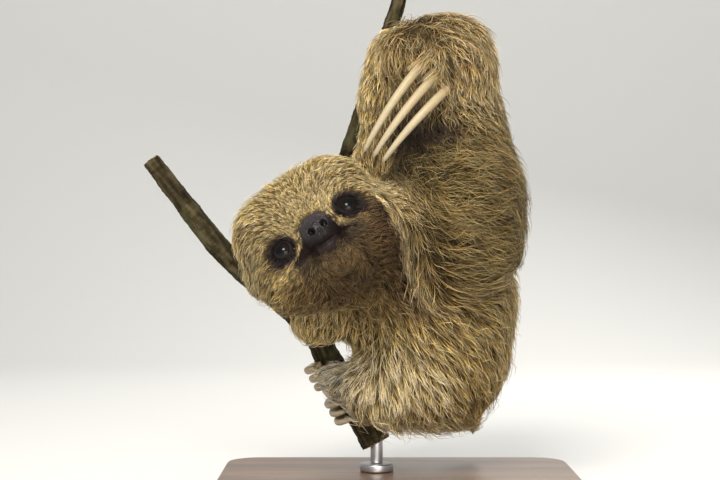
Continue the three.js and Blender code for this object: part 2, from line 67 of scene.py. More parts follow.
camera = bpy.data.objects.new("camera", bpy.data.cameras.new("camera"))
camera.data.lens = LENS_MM
camera.data.sensor_width = SENSOR_WIDTH_MM
camera.location = CAMERA_AT
camera.rotation_euler = (math.radians(90), 0, 0)
bpy.context.scene.collection.objects.link(camera)
bpy.context.scene.camera = camera
bpy.context.scene.view_settings.view_transform = "Standard"
print("camera looks along +Y from", tuple(round(v, 3) for v in CAMERA_AT))

# %% [markdown]
# ## Helpers for meshes
# Each of these does one small job that several pieces need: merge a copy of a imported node, wrap a
# form in an even mesh, read and write all points of a mesh as rows, and put a piece on the frame.

# %% Helpers for meshes
SCENE = bpy.context.scene.collection
MERGE_WITHIN = 1e-6


def added(name, mesh):
    """A mesh put into the scene as an object at the origin."""
    piece = bpy.data.objects.new(name, mesh)
    SCENE.objects.link(piece)
    return piece


def finished(name, bm, material, smooth=True):
    """Turns a bmesh into an object at the origin with one material."""
    mesh = bpy.data.meshes.new(name)
    bm.to_mesh(mesh)
    bm.free()
    mesh.polygons.foreach_set("use_smooth", [smooth] * len(mesh.polygons))
    mesh.materials.append(material)
    return added(name, mesh)


def on_frame(piece, slot, *replaced):
    """Lets a piece ride on the frame and hides the nodes that it replaces; its slot is not used."""
    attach(piece, "root")
    if replaced:
        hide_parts(*replaced)


def merged_node(name):
    """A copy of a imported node's mesh, with its loose triangles merged."""
    copy = bmesh.new()
    copy.from_mesh(nodes[name].data)
    bmesh.ops.remove_doubles(copy, verts=copy.verts, dist=MERGE_WITHIN)
    return copy


def wrapped(name, bm, material, voxel, smoothings):
    """A piece made of a bmesh that a voxel remesh wraps anew and a smooth modifier evens out."""
    piece = finished(name, bm, material)
    remesh = piece.modifiers.new("wrap", "REMESH")
    remesh.mode = "VOXEL"
    remesh.voxel_size = voxel
    piece.modifiers.new("smooth", "SMOOTH").iterations = smoothings
    depsgraph = bpy.context.evaluated_depsgraph_get()
    mesh = bpy.data.meshes.new_from_object(piece.evaluated_get(depsgraph))
    piece.modifiers.clear()
    piece.data = mesh
    return piece


def all_of(kind, geometry):
    """The vertices, edges or faces in what an operator gives back."""
    return [g for g in geometry if isinstance(g, kind)]


def bevelled(bm, edges, width, segments):
    """Rounds edges of a bmesh."""
    bmesh.ops.bevel(
        bm, geom=edges, offset=width, offset_type="OFFSET", segments=segments, profile=0.5, affect="EDGES",
        material=-1,
    )


def rows_of(items, key, width, kind=np.float32):
    """One property of all the vertices, edges or corners of a mesh, as rows."""
    flat = np.zeros(width * len(items), kind)
    items.foreach_get(key, flat)
    return flat.reshape(-1, width)


def coordinates(mesh):
    """The vertices of a mesh as rows of x, y and z."""
    return rows_of(mesh.vertices, "co", 3).astype(float)


def move_to(mesh, points):
    """Puts the vertices of a mesh at rows of x, y and z."""
    mesh.vertices.foreach_set("co", points.astype(np.float32).ravel())
    mesh.update()


def write_attribute(mesh, name, kind, values):
    """Stores one value a vertex on a mesh."""
    layer = mesh.attributes.new(name, kind, "POINT")
    key = {"FLOAT": "value", "FLOAT_COLOR": "color", "FLOAT_VECTOR": "vector"}[kind]
    layer.data.foreach_set(key, np.asarray(values, np.float32).ravel())


# %% Helpers for rows of numbers
def length_of(rows):
    """The length of each row."""
    return np.linalg.norm(rows, axis=-1)


def unit(rows):
    """Rows of vectors, each made one long."""
    return rows / np.maximum(np.linalg.norm(rows, axis=-1, keepdims=True), 1e-12)


def smoothstep(low, high, values):
    """0 below low, 1 above high and an S-curve between."""
    t = np.clip((values - low) / (high - low), 0, 1)
    return t * t * (3 - 2 * t)


def stroke(offset, width):
    """A soft ridge: 1 on its line and 0 a few widths away."""
    return np.exp(-((offset / width) ** 2))


def beside(points, start, end):
    """How far along a straight run each point is, from 0 to 1, and the offset from the run."""
    run = end - start
    share = np.clip((points - start) @ run / (run @ run), 0, 1)
    return share, points - start - share[:, None] * run


# %% [markdown]
# ## Shader helpers
# A material is a small graph of nodes. These helpers place nodes and link them in one line each, so
# that a material reads as a list of what it is made of. A shader node group is a reusable effect with
# named inputs and outputs: `speckle` breaks a colour up with noise, and several finishes here use it.

# %% Shader helpers
def new_material(name):
    """A material with its node tree."""
    material = bpy.data.materials.new(name)
    material.use_nodes = True
    return material, material.node_tree


def feed(tree, socket, value):
    """Links another node's output to a socket, or sets the socket itself."""
    if isinstance(value, bpy.types.NodeSocket):
        tree.links.new(value, socket)
    else:
        socket.default_value = value


def dress(tree, finish):
    """Feeds the inputs of the Principled shader, given by their names."""
    for name, value in finish.items():
        feed(tree, tree.nodes["Principled BSDF"].inputs[name], value)


def put(tree, kind, settings=None, **inputs):
    """Adds a node, sets its properties, and feeds its inputs, given by name or by i and a number."""
    node = tree.nodes.new(kind)
    for key, value in (settings or {}).items():
        setattr(node, key, value)
    for key, value in inputs.items():
        feed(tree, node.inputs[int(key[1:]) if key[1:].isdigit() else key], value)
    return node


def mixed(tree, factor, first, second, how="MIX"):
    """The output of a colour mix node, whose inputs 6 and 7 are its two colours."""
    settings = {"data_type": "RGBA", "blend_type": how}
    return put(tree, "ShaderNodeMix", settings, i0=factor, i6=first, i7=second).outputs[2]


def math_node(tree, how, first, second=0.0):
    """The output of a math node."""
    return put(tree, "ShaderNodeMath", {"operation": how}, i0=first, i1=second).outputs[0]


def times(tree, first, second):
    """Two values multiplied."""
    return math_node(tree, "MULTIPLY", first, second)


def vector_node(tree, how, first, **others):
    """The output of a vector math node."""
    return put(tree, "ShaderNodeVectorMath", {"operation": how}, i0=first, **others).outputs[0]


def tinted(tree, base, mask, share, colour):
    """A base colour with another over it where a mask is white, at the most by a share."""
    return mixed(tree, times(tree, mask, share), base, colour)


def ranged(tree, value, low=0.0, high=1.0, to=(0.0, 1.0)):
    """A value whose run from low to high is stretched over another."""
    return put(tree, "ShaderNodeMapRange", i0=value, i1=low, i2=high, i3=to[0], i4=to[1]).outputs[0]


def ramp(tree, factor, stops):
    """The colour output of a colour ramp with (place, colour) stops."""
    node = put(tree, "ShaderNodeValToRGB", i0=factor)
    elements = node.color_ramp.elements
    while len(elements) < len(stops):
        elements.new(0.5)
    for element, (place, colour) in zip(elements, stops):
        element.position = place
        element.color = colour
    return node.outputs[0]


def noise_at(tree, place, scale, detail=3.0, roughness=0.55, stretch=None):
    """The value of a noise texture, with the pattern stretched by a Mapping node if asked."""
    if stretch:
        place = put(tree, "ShaderNodeMapping", Vector=place, Scale=stretch).outputs[0]
    return put(
        tree, "ShaderNodeTexNoise", Vector=place, Scale=scale, Detail=detail, Roughness=roughness,
    ).outputs[0]


def attribute(tree, name, output="Fac"):
    """An attribute of the mesh, as a number or a colour."""
    return put(tree, "ShaderNodeAttribute", {"attribute_name": name}).outputs[output]


def object_place(tree):
    """The place on the piece in metres."""
    return tree.nodes.new("ShaderNodeTexCoord").outputs["Object"]


def bumped(tree, height, strength, depth_mm):
    """A normal that is bent by a height."""
    return put(tree, "ShaderNodeBump", Height=height, Strength=strength, Distance=depth_mm * MM).outputs[0]


def rgb(red, green, blue):
    """A colour as a shader has it."""
    return (red, green, blue, 1.0)


# %% The speckle group
SPECKLE_BROADER = 7.0  # the broad noise is this much coarser than the fine one
SPECKLE_SHARES = {"fine": 0.6, "broad": 0.4}


def speckle_group():
    """Group: lightens and darkens a colour by fine and broad noise."""
    group = bpy.data.node_groups.new("speckle", "ShaderNodeTree")
    for name, kind in (("Colour", "Color"), ("Place", "Vector"), ("Grain", "Float"), ("Depth", "Float")):
        group.interface.new_socket(name, in_out="INPUT", socket_type="NodeSocket" + kind)
    for name, kind in (("Colour", "Color"), ("Height", "Float")):
        group.interface.new_socket(name, in_out="OUTPUT", socket_type="NodeSocket" + kind)
    given = group.nodes.new("NodeGroupInput").outputs
    result = group.nodes.new("NodeGroupOutput").inputs
    fine = noise_at(group, given["Place"], given["Grain"], detail=4.0, roughness=0.6)
    broad_grain = math_node(group, "DIVIDE", given["Grain"], SPECKLE_BROADER)
    broad = noise_at(group, given["Place"], broad_grain, detail=2.0)
    fine_share = times(group, fine, SPECKLE_SHARES["fine"])
    both = math_node(group, "ADD", fine_share, times(group, broad, SPECKLE_SHARES["broad"]))
    centred = math_node(group, "SUBTRACT", both, 0.5)
    gain = math_node(group, "ADD", times(group, centred, given["Depth"]), 1.0)
    feed(group, result["Colour"], vector_node(group, "SCALE", given["Colour"], Scale=gain))
    feed(group, result["Height"], both)
    return group


SPECKLE = speckle_group()


def speckled(tree, colour, grain, depth):
    """Places the speckle group and returns its colour and its height."""
    node = put(
        tree, "ShaderNodeGroup", {"node_tree": SPECKLE},
        Colour=colour, Place=object_place(tree), Grain=grain, Depth=depth,
    )
    return node.outputs["Colour"], node.outputs["Height"]


print("speckle group has", len(SPECKLE.nodes), "nodes")

# %% [markdown]
# ## Floor and light
# The floor is one pale sheet that bends up into a wall behind, as a photographer's paper roll does,
# so there is no horizon. Its profile runs flat under the base, turns up through a quarter circle and
# ends as a wall. A few vertices joined by `extrude` would do, but spin makes the round part in one
# call: it turns the sheet's far edge about an axis above the floor. Three soft boxes light the
# animal: a key light high on the left, a low one that opens up the shade under the chin, and a rim
# light behind.

# %% Floor and backdrop
FLOOR_HALF_WIDTH = 2.2
FLOOR_FRONT = -1.6
BEND_START = 1.0
BEND_RADIUS = 0.7
BEND_STEPS = 16
WALL_TOP = 2.6

paper, paper_tree = new_material("studio_paper")
dress(paper_tree, {"Base Color": rgb(0.80, 0.79, 0.76), "Roughness": 0.85})

sheet = bmesh.new()
front = [sheet.verts.new((side * FLOOR_HALF_WIDTH, FLOOR_FRONT, 0)) for side in (-1, 1)]
edge = sheet.edges.new(front)
run = bmesh.ops.extrude_edge_only(sheet, edges=[edge])["geom"]
floor_depth = BEND_START - FLOOR_FRONT
bmesh.ops.translate(sheet, verts=all_of(bmesh.types.BMVert, run), vec=(0, floor_depth, 0))
turn = bmesh.ops.spin(
    sheet, geom=all_of(bmesh.types.BMEdge, run), cent=(0, BEND_START, BEND_RADIUS), axis=(1, 0, 0),
    angle=math.radians(90), steps=BEND_STEPS,
)["geom_last"]
wall = bmesh.ops.extrude_edge_only(sheet, edges=all_of(bmesh.types.BMEdge, turn))["geom"]
bmesh.ops.translate(sheet, verts=all_of(bmesh.types.BMVert, wall), vec=(0, 0, WALL_TOP - BEND_RADIUS))
bmesh.ops.recalc_face_normals(sheet, faces=sheet.faces)
backdrop = finished("backdrop", sheet, paper)
print("backdrop spans", [round(v, 2) for v in backdrop.dimensions])


# %% Lights
CHEST = (0.0, 0.0, 0.17)
ROOM_COLOUR = rgb(0.86, 0.90, 0.95)
ROOM_STRENGTH = 0.42


def soft_box(name, at, size, watts, colour):
    """A square soft light that points at the chest."""
    data = bpy.data.lights.new(name, "AREA")
    data.size = size
    data.energy = watts
    data.color = colour
    light = bpy.data.objects.new(name, data)
    light.location = at
    light.rotation_euler = (Vector(CHEST) - Vector(at)).to_track_quat("-Z", "Y").to_euler()
    SCENE.objects.link(light)


soft_box("key", at=(-0.3, -1.2, 1.05), size=0.5, watts=27, colour=(1.0, 0.96, 0.89))
soft_box("low", at=(0.25, -1.3, 0.12), size=0.8, watts=12, colour=(1.0, 0.97, 0.92))
soft_box("rim", at=(0.35, 0.95, 0.95), size=0.6, watts=9, colour=(1.0, 0.98, 0.95))
world = bpy.data.worlds.new("studio")
world.use_nodes = True
room = world.node_tree.nodes["Background"].inputs
room["Color"].default_value = ROOM_COLOUR
room["Strength"].default_value = ROOM_STRENGTH
bpy.context.scene.world = world

# %% [markdown]
# ## The head's own frame
# The head is rolled, tipped and turned, so its features are placed in a frame of its own: x to the
# animal's left, y to the crown, z out of the face, in millimetres from the middle of the skull. Two
# helpers carry points in and out of that frame, and a third says where the eyes are in it.

# %% The head's frame
HEAD_CENTRE = np.array([-50, -55, 165])
HEAD_ROLL, HEAD_PITCH, HEAD_YAW = 38, 25, 5.5
EYE = {"out": 22.5, "drop": 9.0, "forward": 28.8, "radius": 5.6}

head_turn = np.array(
    Matrix.Rotation(math.radians(-HEAD_ROLL), 3, "Y")
    @ Matrix.Rotation(math.radians(90 - HEAD_PITCH), 3, "X")
    @ Matrix.Rotation(math.radians(HEAD_YAW), 3, "Y")
)


def to_head(points):
    """Points given in metres in the frame, in millimetres in the head's own frame."""
    return (points / MM - HEAD_CENTRE) @ head_turn


def from_head(places):
    """The way back."""
    return (np.asarray(places, float) @ head_turn.T + HEAD_CENTRE) * MM


def eye_middle(side):
    """The middle of an eyeball in the head's frame: side is 1 on the animal's left, -1 on its right."""
    return np.array([side * EYE["out"], -EYE["drop"], EYE["forward"]])


packed_eye = np.array(sum(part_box("left_eye"), Vector()) / 2)
print("left eye in the head's frame:", to_head(packed_eye).round(1), "meant:", eye_middle(1))

# %% [markdown]
# ## Forms of the head
# A skull is a few soft forms that run into each other, and so is this one: each form is a distance
# field, a function that is negative inside, zero on the surface and positive outside. `softly` joins
# two fields with a fillet and `carved` cuts one out of another. Metaballs would be the other way, but a
# field has a known place for its surface, so a vertex can be settled on it exactly.

# %% Fields
def ball(q, centre, radius):
    """Distance to a ball."""
    return length_of(q - np.array(centre, float)) - radius


def egg(q, centre, radii):
    """Rough distance to an ellipsoid."""
    p = (q - np.array(centre, float)) / np.array(radii, float)
    near = length_of(p)
    slope = np.maximum(length_of(p / np.array(radii, float)), 1e-9)
    return near * (near - 1) / slope


def bone(q, start, end, radii):
    """Distance to a rod with round ends, whose radius changes from one end to the other."""
    share, off = beside(q, np.array(start, float), np.array(end, float))
    return length_of(off) - (radii[0] + share * (radii[1] - radii[0]))


def softly(a, b, k):
    """The lower of two fields, with a fillet where they are within k."""
    h = np.maximum(k - np.abs(a - b), 0) / k
    return np.minimum(a, b) - h * h * k / 4


def carved(a, tool, k):
    """Field a with the tool's form cut away, the edge rounded by k."""
    return -softly(-a, tool, k)


# %% The skull, over the coat
SKULL = {"centre": (0, 3, -6), "radii": (49, 46, 44)}
CHEEK = {"out": 23, "up": -15, "forward": 8, "radius": 26.5}
TEMPLE = {"out": 21, "up": 16, "forward": 8, "radius": 25}
SOCKET = {"from_eye": (1, -1, 13), "radius": 11.5}
MUZZLE = {"start": (0, -14.5, 22), "end": (0, -18.5, 40), "radii": (18, 11.2)}
JAW = {"start": (0, -30.5, 15), "end": (0, -35.5, 33), "radii": (20, 10.2)}
FILLET = {"cheek": 8, "socket": 7, "muzzle": 9, "jaw": 5}


def head_form(q):
    """Distance to the head's outer form."""
    form = egg(q, **SKULL)
    for side in (-1, 1):
        for mound in (CHEEK, TEMPLE):
            centre = (side * mound["out"], mound["up"], mound["forward"])
            form = softly(form, ball(q, centre, mound["radius"]), FILLET["cheek"])
    for side in (-1, 1):
        centre = eye_middle(side) + np.array(SOCKET["from_eye"]) * [side, 1, 1]
        form = carved(form, ball(q, centre, SOCKET["radius"]), FILLET["socket"])
    form = softly(form, bone(q, **MUZZLE), FILLET["muzzle"])
    return softly(form, bone(q, **JAW), FILLET["jaw"])


print("a point at the crown lies", head_form(np.array([[0.0, 49.0, -6.0]])).round(2)[0], "mm off the form")

# %% [markdown]
# ## The coat's plan
# Every part of the body has its own coat: how long the hairs are, how deep the coat is over the skin,
# how strongly hairs gather in locks, their tint, and the way they lie. On a sloth the hair lies from
# the belly to the back. The lie is given as a few rules: from a whorl on the hand, away from the nose
# on the head, and fanning from the chest over the body. One table holds the plan, so that skin and
# coat agree.

# %% Ways the coat lies
DOWN = np.array([0.0, 0.0, -1.0])
WHORL = np.array([5, -46, 290]) * MM
WHORL_FALL = {"band": (8 * MM, 45 * MM), "share": 1.6}  # how the hair turns downwards with distance
CHEST_FAN = np.array([-25, 0, 160]) * MM
FAN_DROOP = 0.15


def lies(x, y, z):
    """Hair that lies one way."""
    return lambda p: np.broadcast_to(np.array([x, y, z], float), p.shape)


def from_whorl(p):
    """Away from the whorl on the hand, and more and more downwards."""
    out = p - WHORL
    far = length_of(out)[:, None]
    return unit(out) + DOWN * smoothstep(*WHORL_FALL["band"], far) * WHORL_FALL["share"]


def fan(p):
    """Fans out from the chest, in the plane that the body's side lies in."""
    out = p - CHEST_FAN
    out[:, 1] = 0
    return unit(out) + DOWN * FAN_DROOP


CREASE = np.array([(-14, -87, 183), (-9, -84, 172), (-2, -62, 159), (3, -49, 147), (7, -42, 137)]) * MM
ARM_SIDE = np.array([0.75, 0.1, 0.65])
FRINGE_BAND = (1.0, 4.0, 13.0, 20.0)  # mm from the crease where its fringe begins and ends


def at_crease(p):
    """Distance in mm to the fold between cheek and arm, and 1 where the fringe over it grows."""
    off = np.full(len(p), np.inf)
    for start, end in zip(CREASE[:-1], CREASE[1:]):
        off = np.minimum(off, length_of(beside(p, start, end)[1]) / MM)
    nearest = CREASE[np.argmin([length_of(p - knot) for knot in CREASE], 0)]
    beyond = (p - nearest) @ ARM_SIDE / MM
    near, full, fading, gone = FRINGE_BAND
    return off, smoothstep(near, full, beyond) * (1 - smoothstep(fading, gone, off))


ARM = {"middle_x": 38 * MM, "half_width": 44 * MM}
ARM_FALL = {"middle": 0.12, "sides": 0.75, "head_side": 0.9, "from": 0.2}
HANGING = np.array([-0.35, -0.3, -0.9])
HANGING_BAND = (3.0, 8.5)  # mm from the fold at the cheek where the arm's hair stops hanging


def round_the_arm(p):
    """Across the arm from the head side to the back, lowest at its middle, hanging at the cheek."""
    share = (p[:, 0] - ARM["middle_x"]) / ARM["half_width"]
    down = ARM_FALL["middle"] + ARM_FALL["sides"] * share ** 2
    down += ARM_FALL["head_side"] * np.maximum(-share - ARM_FALL["from"], 0)
    across = unit(np.stack([np.ones(len(p)), 0 * share, -down], 1))
    off, _ = at_crease(p)
    return HANGING + (across - HANGING) * smoothstep(*HANGING_BAND, off)[:, None]


FLOW_FROM = np.array([0, -16, 30.0])
BROW_DROOP = {"most": 0.6, "sideways": (6, 30), "upwards": (-12, 2)}
EYE_FLOW = {"share": 2.2, "reach": 9}


def from_nose(p):
    """Away from the nose, down beside the brow, and round the eyes."""
    q = to_head(p)
    flow = unit(q - FLOW_FROM)
    droop = BROW_DROOP["most"] * smoothstep(*BROW_DROOP["sideways"], np.abs(q[:, 0]))
    flow[:, 1] -= droop * smoothstep(*BROW_DROOP["upwards"], q[:, 1])
    for side in (-1, 1):
        off = q - eye_middle(side)
        near = stroke(length_of(off), EYE_FLOW["reach"])[:, None]
        flow = flow + EYE_FLOW["share"] * near * unit(off)
    return flow @ head_turn.T


# %% The coat of each part
TAN = (0.59, 0.43, 0.175)
PALE = (0.58, 0.42, 0.185)
FLAX = (0.47, 0.335, 0.145)
STRAW = (0.78, 0.58, 0.25)
# Painted sunlight: this tint makes the left thigh's coat far paler than the right one's, as a patch of sun.
SUNLIT_CREAM = (1.32, 1.09, 0.62)
OLIVE = (0.275, 0.192, 0.068)
BROWN = (0.25, 0.16, 0.058)
GREY = (1.12, 1.06, 0.86)
ASH = (0.80, 0.72, 0.54)


def coat(length, depth, clump, width, tint, comb, jitter=12, wave=0.08):
    """One row: length, depth and width in millimetres, jitter in degrees, wave in radians."""
    return {
        "length": length, "depth": depth, "clump": clump, "width": width, "tint": tint, "comb": comb,
        "jitter": jitter, "wave": wave,
    }


COATS = {
    "trunk": coat(25, 9, 0.55, 0.38, TAN, fan, 12, 0.14),
    "tail": coat(15, 4, 0.5, 0.44, TAN, lies(0.1, 0.5, -0.8)),
    "neck": coat(17, 7, 0.35, 0.45, BROWN, fan, 14, 0.3),
    "head": coat(8, 4, 0.3, 0.36, TAN, from_nose, 15),
    "muzzle": coat(3, 0.6, 0.1, 0.26, TAN, from_nose),
    "lower_jaw": coat(4, 1.2, 0.15, 0.28, BROWN, from_nose),
    "left_ear": coat(7, 1.5, 0.3, 0.4, TAN, from_nose),
    "right_ear": coat(7, 1.5, 0.3, 0.4, TAN, from_nose),
    "left_upper_arm": coat(25, 8, 0.25, 0.33, OLIVE, round_the_arm, 22, 0.4),
    "left_forearm": coat(20, 7, 0.25, 0.33, OLIVE, lies(0.5, 0, -0.85), 24, 0.4),
    "left_hand": coat(20, 6, 0.35, 0.38, FLAX, from_whorl, 20, 0.2),
    "right_upper_arm": coat(18, 5, 0.45, 0.44, STRAW, lies(-0.15, 0, -1)),
    "right_forearm": coat(17, 5, 0.4, 0.44, STRAW, lies(0, 0, -1)),
    "right_hand": coat(18, 5.5, 0.45, 0.46, STRAW, lies(-0.3, 0, -1), 16, 0.15),
    # the left thigh is painted paler as a patch of sunlight
    "left_thigh": coat(24, 8, 0.55, 0.38, SUNLIT_CREAM, fan, 12, 0.14),
    "right_thigh": coat(22, 8, 0.55, 0.40, TAN, fan, 12, 0.14),
    "left_shank": coat(15, 4, 0.5, 0.44, ASH, lies(-0.6, 0.2, -0.6)),
    "right_shank": coat(15, 4, 0.5, 0.44, ASH, lies(-0.6, -0.2, -0.6)),
    "left_foot": coat(8, 2, 0.3, 0.4, GREY, lies(-0.9, 0.1, -0.3)),
    "right_foot": coat(8, 2, 0.3, 0.4, GREY, lies(-0.9, -0.3, -0.3)),
}
FLESH = list(COATS)
print("parts with a coat:", len(FLESH))

# %% [markdown]
# ## One skin
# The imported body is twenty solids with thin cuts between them. A skin has no cuts. Copies of the
# solids are swollen by less than a millimetre, so that they overlap, and a voxel remesh wraps them in
# one even mesh of quads. A smooth modifier then takes the facets off. The eyes are wrapped in too,
# and their lids are made from that swelling later.

# %% Wrap the body
VOXEL = 2.0 * MM
SWELL = 0.45 * MM
SMOOTHINGS = 14

bare_skin, bare_tree = new_material("sloth_skin")

wrap = bmesh.new()
part_points, part_numbers = [], []
for number, name in enumerate(FLESH + ["left_eye", "right_eye"]):
    copy = merged_node(name)
    copy.normal_update()
    for vert in copy.verts:
        vert.co += vert.normal * SWELL
    swollen = bpy.data.meshes.new(name)
    copy.to_mesh(swollen)
    wrap.from_mesh(swollen)
    if name in FLESH:
        bmesh.ops.subdivide_edges(copy, edges=copy.edges, cuts=2, use_grid_fill=True)
        part_points += [vert.co.copy() for vert in copy.verts]
        part_numbers += [number] * len(copy.verts)
    copy.free()
    bpy.data.meshes.remove(swollen)
skin = wrapped("skin", wrap, bare_skin, VOXEL, SMOOTHINGS)
print("skin wrapped:", len(skin.data.vertices), "vertices")


# %% Where each part is
BLEND_WIDTH = 5 * MM
NEIGHBOURS = 10
SHARE_SPREADS = 14
HEAD_PARTS = ["head", "muzzle", "lower_jaw"]

part_tree = KDTree(len(part_points))
for index, point in enumerate(part_points):
    part_tree.insert(point, index)
part_tree.balance()
part_numbers = np.array(part_numbers)


def shares_of_parts(points):
    """For each point, the share that each part has in it, from the nearest points of the parts."""
    shares = np.zeros((len(points), len(FLESH)))
    for row, point in enumerate(points):
        for _, index, distance in part_tree.find_n(point, NEIGHBOURS):
            shares[row, part_numbers[index]] += 1 / (distance ** 2 + BLEND_WIDTH ** 2)
    return shares / shares.sum(1, keepdims=True)


def share_of(shares, names):
    """The share that some parts have together."""
    return sum(shares[:, FLESH.index(name)] for name in names)


def planned(shares, key):
    """A column of the coat's plan, blended by the shares of the parts."""
    return shares @ np.array([COATS[name][key] for name in FLESH], float)


def spread_over(mesh, values, rounds):
    """Averages values over neighbouring vertices of a mesh, some rounds over."""
    a, b = rows_of(mesh.edges, "vertices", 2, np.int64).T
    count = np.bincount(np.concatenate([a, b]), minlength=len(values)).astype(float)
    for _ in range(rounds):
        total = np.zeros_like(values)
        for column in range(values.shape[1]):
            total[:, column] = np.bincount(a, values[b, column], len(values))
            total[:, column] += np.bincount(b, values[a, column], len(values))
        values = 0.5 * values + 0.5 * total / np.maximum(count, 1)[:, None]
    return values


part_shares = spread_over(skin.data, shares_of_parts(coordinates(skin.data)), SHARE_SPREADS)
print("largest share of the head:", part_shares[:, FLESH.index("head")].max().round(2))

# %% [markdown]
# ## Sink the skin under the coat
# The solids reach to the tips of the hairs, so the skin lies deeper by the coat's depth. On the body
# each vertex sinks along its normal. On the head it settles on the head's fields instead, which
# gives a clean face to sculpt.

# %% Coat depth
NOSE = np.array([0, -18, 44.0])
HEAD_COAT = {"at_nose": 0.35, "more": 4.4, "band": (12, 72)}  # mm
ON_FORM_BAND = (2.5, 6)
SLOPE_STEP = 0.2


def face_distance(q):
    """Distance from the nose in millimetres, in the head's frame."""
    return length_of(q - NOSE)


def head_depth(q):
    """How far the skin of the head lies under its outer form: hardly at the nose, more behind."""
    return HEAD_COAT["at_nose"] + HEAD_COAT["more"] * smoothstep(*HEAD_COAT["band"], face_distance(q))


def slope_of(field, q, step):
    """The way a field grows, from two samples along each axis."""
    return np.stack([field(q + step * axis) - field(q - step * axis) for axis in np.eye(3)], 1) / (2 * step)


places = coordinates(skin.data)
normals = rows_of(skin.data.vertices, "normal", 3)
depths = planned(part_shares, "depth")
in_head = to_head(places)
gap = head_form(in_head)
on_form = share_of(part_shares, HEAD_PARTS) * (1 - smoothstep(*ON_FORM_BAND, np.abs(gap)))
settled = in_head - slope_of(head_form, in_head, SLOPE_STEP) * (gap + head_depth(in_head))[:, None]
sunk = places - normals * (depths * MM)[:, None]
places = sunk * (1 - on_form[:, None]) + from_head(settled) * on_form[:, None]
move_to(skin.data, spread_over(skin.data, places, rounds=2))
print("coat depth, mm:", depths.min().round(1), "to", depths.max().round(1))

# %% [markdown]
# ## Unwrap
# Each hair will take its place on a flat map of the skin, so that a baked colour lands at its root.
# Smart projection cuts the skin into islands by the way its faces look, which suits a body with no
# obvious seams. It is done before the face gets its small faces, which then inherit the map.

# %% Unwrap the skin
MAP_NAME = "OFBake"

bpy.context.view_layer.objects.active = skin
skin.select_set(True)
skin.data.uv_layers.new(name=MAP_NAME)
bpy.ops.object.mode_set(mode="EDIT")
bpy.ops.mesh.select_all(action="SELECT")
bpy.ops.uv.smart_project(angle_limit=math.radians(72), island_margin=0.001)
bpy.ops.object.mode_set(mode="OBJECT")
print("skin unwrapped:", len(skin.data.uv_layers[MAP_NAME].data), "corners")

# %% [markdown]
# ## A finer mesh for the face
# Two millimetres is fine under fur and far too coarse for a nostril. `subdivide_edges` halves the
# edges in ever smaller regions: the front of the face, then the muzzle and the eyes, then the
# nostrils, the lips and the rims of the lids.

# %% Face regions
NOSTRIL = {"out": 4.3, "drop": 18.6, "radius": 1.9, "depth": 3.4, "lean": 0.25, "tallness": 0.85}
MOUTH = {"middle_drop": 27.2, "lift": 5.0, "curve": (1, 16), "half_width": 24.0}
BEHIND_FACE = 18
MUZZLE_MIDDLE = np.array([0, -19])
REGIONS = (
    {"front": 8, "muzzle": 46, "rim": 14},
    {"front": 20, "muzzle": 23, "rim": 11},
    {"front": 24, "muzzle": 15.5, "rim": 7.6},
)


def sideways(q):
    """Distance from the plane that halves the head."""
    return np.abs(q[:, 0])


def above_mouth(q):
    """Height over the mouth line, which rises to both sides."""
    line = MOUTH["lift"] * smoothstep(*MOUTH["curve"], sideways(q)) - MOUTH["middle_drop"]
    return q[:, 1] - line


def eye_distance(q):
    """Distance from the axis of the nearer eye, large behind the face."""
    rings = [length_of((q - eye_middle(side))[:, :2]) for side in (-1, 1)]
    return np.minimum(*rings) + np.maximum(BEHIND_FACE - q[:, 2], 0)


def face_region(q, region):
    """True where the face gets another round of small faces."""
    from_muzzle = length_of(q[:, :2] - MUZZLE_MIDDLE)
    near = (from_muzzle < region["muzzle"]) | (eye_distance(q) < region["rim"])
    return near & (q[:, 2] > region["front"])


# %% Subdivide the face
fine = bmesh.new()
fine.from_mesh(skin.data)
for region in REGIONS:
    fine.verts.ensure_lookup_table()
    chosen = face_region(to_head(np.array([vert.co[:] for vert in fine.verts])), region)
    edges = [edge for edge in fine.edges if all(chosen[vert.index] for vert in edge.verts)]
    bmesh.ops.subdivide_edges(fine, edges=edges, cuts=1, use_grid_fill=True)
    fine.verts.index_update()
bmesh.ops.triangulate(fine, faces=[face for face in fine.faces if len(face.verts) > 4])
fine.to_mesh(skin.data)
fine.free()
print("skin with a fine face:", len(skin.data.vertices), "vertices")

# %% [markdown]
# ## Sculpt the face
# The relief is a height in millimetres over the skull's form, written as a sum of soft ridges and
# furrows: the pad of the nose stands proud inside a crease, two nostrils are pressed in, a groove runs
# down to the mouth, and the lips roll out on both sides of the mouth line. The lids are a thin shell
# over each eyeball with an opening carved in it, so an eye sits as deep as a real one.

# %% Relief
NOSE_PAD = {
    "middle": (0, -14.8), "radii": (11.6, 10.8), "squareness": 2.3, "narrowing": 0.28, "height": 0.8,
    "narrow_to": 0.3, "edge": (0.55, 1.0),
}
PEBBLE = {"pitch": 1.1, "height": 0.20, "edge": (0.8, 1.0)}  # fine bumps, pitch and height in mm
PEBBLE_BENDS = ((1.3, 0.43), (1.1, 0.51))  # how strongly and how often one wave bends the other
PEBBLE_START = 1
RAGGED = {"share": 0.06, "scales": (0.4, 0.9)}  # how the edge of the pad wavers

# Each ridge is its height, where its line runs and how wide it is. A furrow has a height under zero.
PAD_CREASE = (-0.25, 1.03, 0.1)
NOSTRIL_RIM = (0.35, 2.7, 0.7)
NOSTRIL_WALL = {"wider": 1.25, "band": (0.35, 1.0)}
LIP_GROOVE = (-0.6, 0, 0.8)
GROOVE_BAND = (-27.5, -26, -21, -18.5)
UPPER_LIP = (0.5, 2.0, 1.4)
LOWER_LIP = (0.8, -2.6, 1.8)
MOUTH_CUT = (-1.0, 0, 0.7)
MOUTH_DEPTH = {"least": 0.8, "at_lips": 1.0, "corner": (0.8, 1.05)}
CHIN_CREASE = (-0.5, -6.2, 1.6)
LIP_FADE = {"share": 0.9, "band": (4, 14)}
RELIEF_FRONT = (16, 24)


